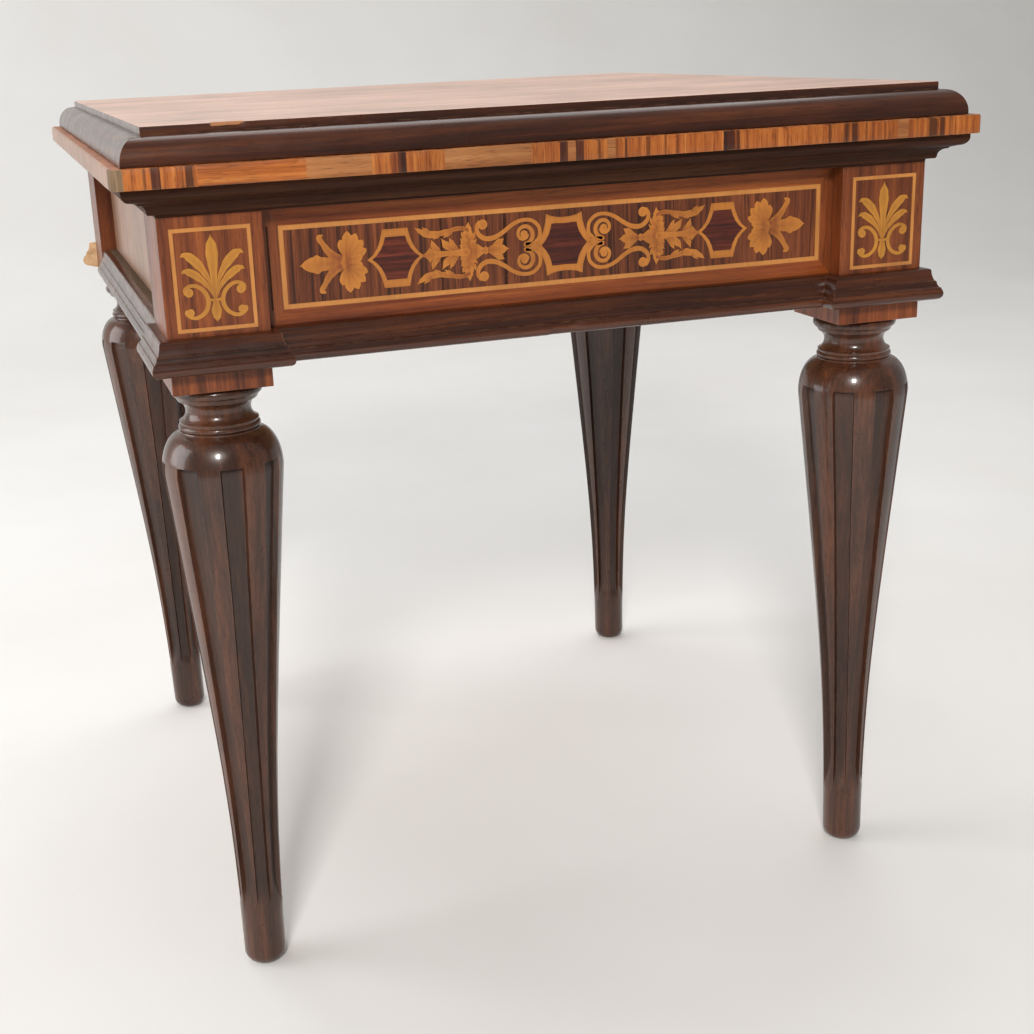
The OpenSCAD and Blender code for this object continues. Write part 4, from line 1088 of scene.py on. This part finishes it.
def palmette(name, x):
    """A five-leaved palmette over two scrolls, in a light string, on a corner block."""
    origin = (x, -CASE_HALF, 464.0)
    string = Veneer(origin)
    string.lift = 0.18
    string.frame(23.1, -29.5, 29.4, 2.2)
    string.build(name + "_string", "string")
    art = Veneer(origin)
    art.stroke([(0, -11), (0, -4), (0, 3), (0, 9), (0, 14), (0, 19), (0, 25.2)],
               (0.7, 1.3, 2.1, 2.9, 3.5, 3.0, 0.1), toast=(0.3, 0.0), vein=0.5)
    art.flips = ((1, 1), (-1, 1))
    art.stroke([(0.8, -7), (2.4, -1.5), (5.2, 4.2), (8.8, 9.4), (12.8, 13.2), (15.8, 14.6), (18.2, 13.4)],
               (0.5, 0.9, 1.7, 2.6, 2.5, 1.3, 0.1), toast=(0.3, 0.05), vein=0.4)
    art.stroke([(0.6, -10.5), (2.6, -5.8), (5.8, -1.4), (9.8, 2.4), (13.6, 4.8), (16.2, 5.4), (18.2, 4.4)],
               (0.5, 0.8, 1.4, 2.2, 2.1, 1.1, 0.1), toast=(0.3, 0.05), vein=0.4)
    art.stroke([(16.6, -7.8), (16.8, -4.8), (13.4, -2.9), (9.2, -3.9), (5.6, -7.6), (4.2, -12.4),
                (5.6, -17.4), (9.6, -20.8), (13.8, -21.2), (17.0, -18.6), (16.4, -16.6)],
               (1.0, 1.1, 1.0, 1.1, 1.2, 1.2, 1.2, 1.1, 1.0, 1.1, 0.9), toast=(0.2, 0.15), vein=0.1)
    art.knob((14.9, -6.8), 2.5)
    art.knob((14.8, -18.2), 2.2)
    art.flips = ((1, 1),)
    art.stroke([(-4.4, -11.6), (0, -11.9), (4.4, -11.6)], (0.7, 0.8, 0.7), toast=(0.2, 0.2))
    art.stroke([(0, -11.5), (0, -14.5), (0, -18), (0, -21.5), (0, -24.4)], (0.9, 2.0, 2.9, 2.2, 0.1),
               toast=(0.3, 0.1), vein=0.4)
    art.build(name, "leaf_gold")


# ---- Movement ----

def tune_pins():
    """Steel pins in rings over the cylinder, one ring for each comb tooth and tune."""
    random.seed(7)
    lo, hi = low("cylinder_tube"), high("cylinder_tube")
    radius = (hi.y - lo.y) / 2
    cy, cz = (hi.y + lo.y) / 2, (hi.z + lo.z) / 2
    comb_lo, comb_hi = low("comb"), high("comb")
    teeth, tunes, per_ring = 72, 6, 4
    pitch = (comb_hi.x - comb_lo.x) / teeth
    pin_r, pin_h = 0.13, 0.8
    bm = bmesh.new()
    for tooth in range(teeth):
        for tune in range(tunes):
            x = comb_lo.x + (tooth + 0.5) * pitch + (tune - 2.5) * pitch / tunes * 0.8
            for _ in range(per_ring):
                turn = random.uniform(0, 2 * math.pi)
                out = Vector((0, math.cos(turn), math.sin(turn)))
                side = Vector((0, -out.z, out.y))
                rings = []
                for h in (-0.4, pin_h):
                    base = Vector((x, cy, cz)) + out * (radius + h)
                    ring = [base + side * pin_r * math.cos(a) + Vector((pin_r * math.sin(a), 0, 0))
                            for a in (math.radians(72 * i) for i in range(5))]
                    rings.append([bm.verts.new(p) for p in ring])
                bridged(bm, *rings)
                bm.faces.new(rings[1])
                bm.faces.new(list(reversed(rings[0])))
    finished("tune_pins", bm, "steel", "cylinder", smooth=50)


def dress_cad():
    """Materials for the CAD nodes that stay in view."""
    brass = ["lid_hinge_leaves", "case_hinge_leaves", "lid_hinge_screws", "case_hinge_screws", "comb_base",
             "left_bridge", "middle_bridge", "right_bridge", "governor_frame", "governor_cocks",
             "winding_lever", "great_wheel", "change_star", "second_wheel", "worm_wheel", "fan",
             "start_lever", "change_lever"]
    spun = ["barrel_drum", "barrel_cover", "cylinder_tube", "cylinder_caps"]
    steel = ["hinge_pins", "comb", "barrel_arbor", "ratchet_wheels", "click", "winding_pawl", "mainspring",
             "cylinder_arbor", "cylinder_pinion", "second_arbor", "third_arbor", "fan_arbor", "endless_screw",
             "leg_bolts"]
    plan = {n: "brass" for n in brass}
    plan.update({n: "brass_spun" for n in spun})
    plan.update({n: "steel" for n in steel})
    plan.update(movement_screws="blued_steel", bedplate="iron", cylinder_cement="cement",
                glass_pane="clear_glass", glass_frame="dark_moulding_y", winding_knob="dark_moulding",
                bottom_board="deal", partitions="deal", movement_rails="deal")
    for node, material in plan.items():
        dress(NODES[node], material)


# ---- Setting ----

def stage():
    """A pale floor that curves up into a pale wall behind the table."""
    bm = bmesh.new()
    width, back, bend, front, height = 5.0, 3.0, 1.2, -3.5, 3.4
    profile = [(front, 0.0), (back - bend, 0.0)]
    profile += [(back - bend + bend * math.sin(t), bend - bend * math.cos(t))
                for t in (math.radians(7.5 * i) for i in range(1, 13))]
    profile += [(back, height)]
    rows = [[bm.verts.new((x / MM, y / MM, z / MM)) for y, z in profile] for x in (-width, width)]
    bridged(bm, *rows, closed=False)
    floor = placed("floor", bm)
    floor.data.shade_smooth()
    floor_paint()
    floor.data.materials.append(mats["floor_paint"])


def light(name, at, target, energy, size, colour=(1, 1, 1)):
    """A rectangular lamp that faces a point."""
    data = bpy.data.lights.new(name, "AREA")
    data.energy = energy
    data.color = colour
    data.shape = "RECTANGLE"
    data.size, data.size_y = size
    lamp = bpy.data.objects.new(name, data)
    lamp.location = at
    lamp.rotation_euler = (Vector(target) - Vector(at)).to_track_quat("-Z", "Y").to_euler()
    bpy.context.scene.collection.objects.link(lamp)


def lights():
    middle = (0, 0, 0.4)
    key_az, key_el, key_d = math.radians(22), math.radians(29), 3.0
    key = (-math.sin(key_az) * math.cos(key_el) * key_d, -math.cos(key_az) * math.cos(key_el) * key_d,
           0.45 + math.sin(key_el) * key_d)
    light("key", key, middle, 60, (0.5, 0.5), (1.0, 0.97, 0.93))
    light("left_window", (-3.0, 0.6, 1.3), middle, 60, (2.2, 2.2), (0.97, 0.98, 1.0))
    light("top_back", (0.2, 1.2, 2.8), middle, 40, (3.0, 2.0))
    world = bpy.data.worlds.new("studio")
    world.use_nodes = True
    nodes, links = world.node_tree.nodes, world.node_tree.links
    background = nodes["Background"]
    direction = nodes.new("ShaderNodeTexCoord").outputs["Generated"]
    split = nodes.new("ShaderNodeSeparateXYZ")
    links.new(direction, split.inputs["Vector"])
    ramp = nodes.new("ShaderNodeValToRGB")
    ramp.color_ramp.elements[0].position = 0.0
    ramp.color_ramp.elements[0].color = (0.34, 0.34, 0.34, 1)
    ramp.color_ramp.elements[1].position = 1.0
    ramp.color_ramp.elements[1].color = (0.95, 0.95, 0.95, 1)
    shift = nodes.new("ShaderNodeMath")
    shift.operation = "MULTIPLY_ADD"
    links.new(split.outputs["Y"], shift.inputs[0])
    shift.inputs[1].default_value = 0.5
    shift.inputs[2].default_value = 0.5
    links.new(shift.outputs[0], ramp.inputs["Fac"])
    links.new(ramp.outputs["Color"], background.inputs["Color"])
    background.inputs["Strength"].default_value = 0.62
    scene = bpy.context.scene
    scene.world = world
    scene.view_settings.view_transform = "Standard"
    scene.view_settings.look = "None"


# ---- The table ----

make_camera()
stage()
lights()
case_woods()
banding_woods()
inlays()
movement_materials()
dress_cad()
top_board()
top_mouldings()
banded_board()
cornice()
base_mouldings()
for panel in ("panel_front", "panel_right", "panel_back"):
    refined(panel, "rosewood", 0.4)
# The left panel takes the pale copy of rosewood, whose colour carries painted sheen.
refined("panel_left", "rosewood_side", 0.4)
refined("corner_posts", "rosewood_warm", 0.5)
refined("leg_blocks", "block_wood", 0.5)
leg("leg_front_left", -1, -1, foot=-2.0, turn=0, seed=0.0)
leg("leg_front_right", 1, -1, foot=6.5, turn=4, seed=3.7)
leg("leg_back_left", -1, 1, foot=7.5, turn=0, seed=7.4)
leg("leg_back_right", 1, 1, foot=0.0, turn=0, seed=11.1)
front_design()
palmette("palmette_left", -PALMETTE_AT)
palmette("palmette_right", PALMETTE_AT)
tune_pins()
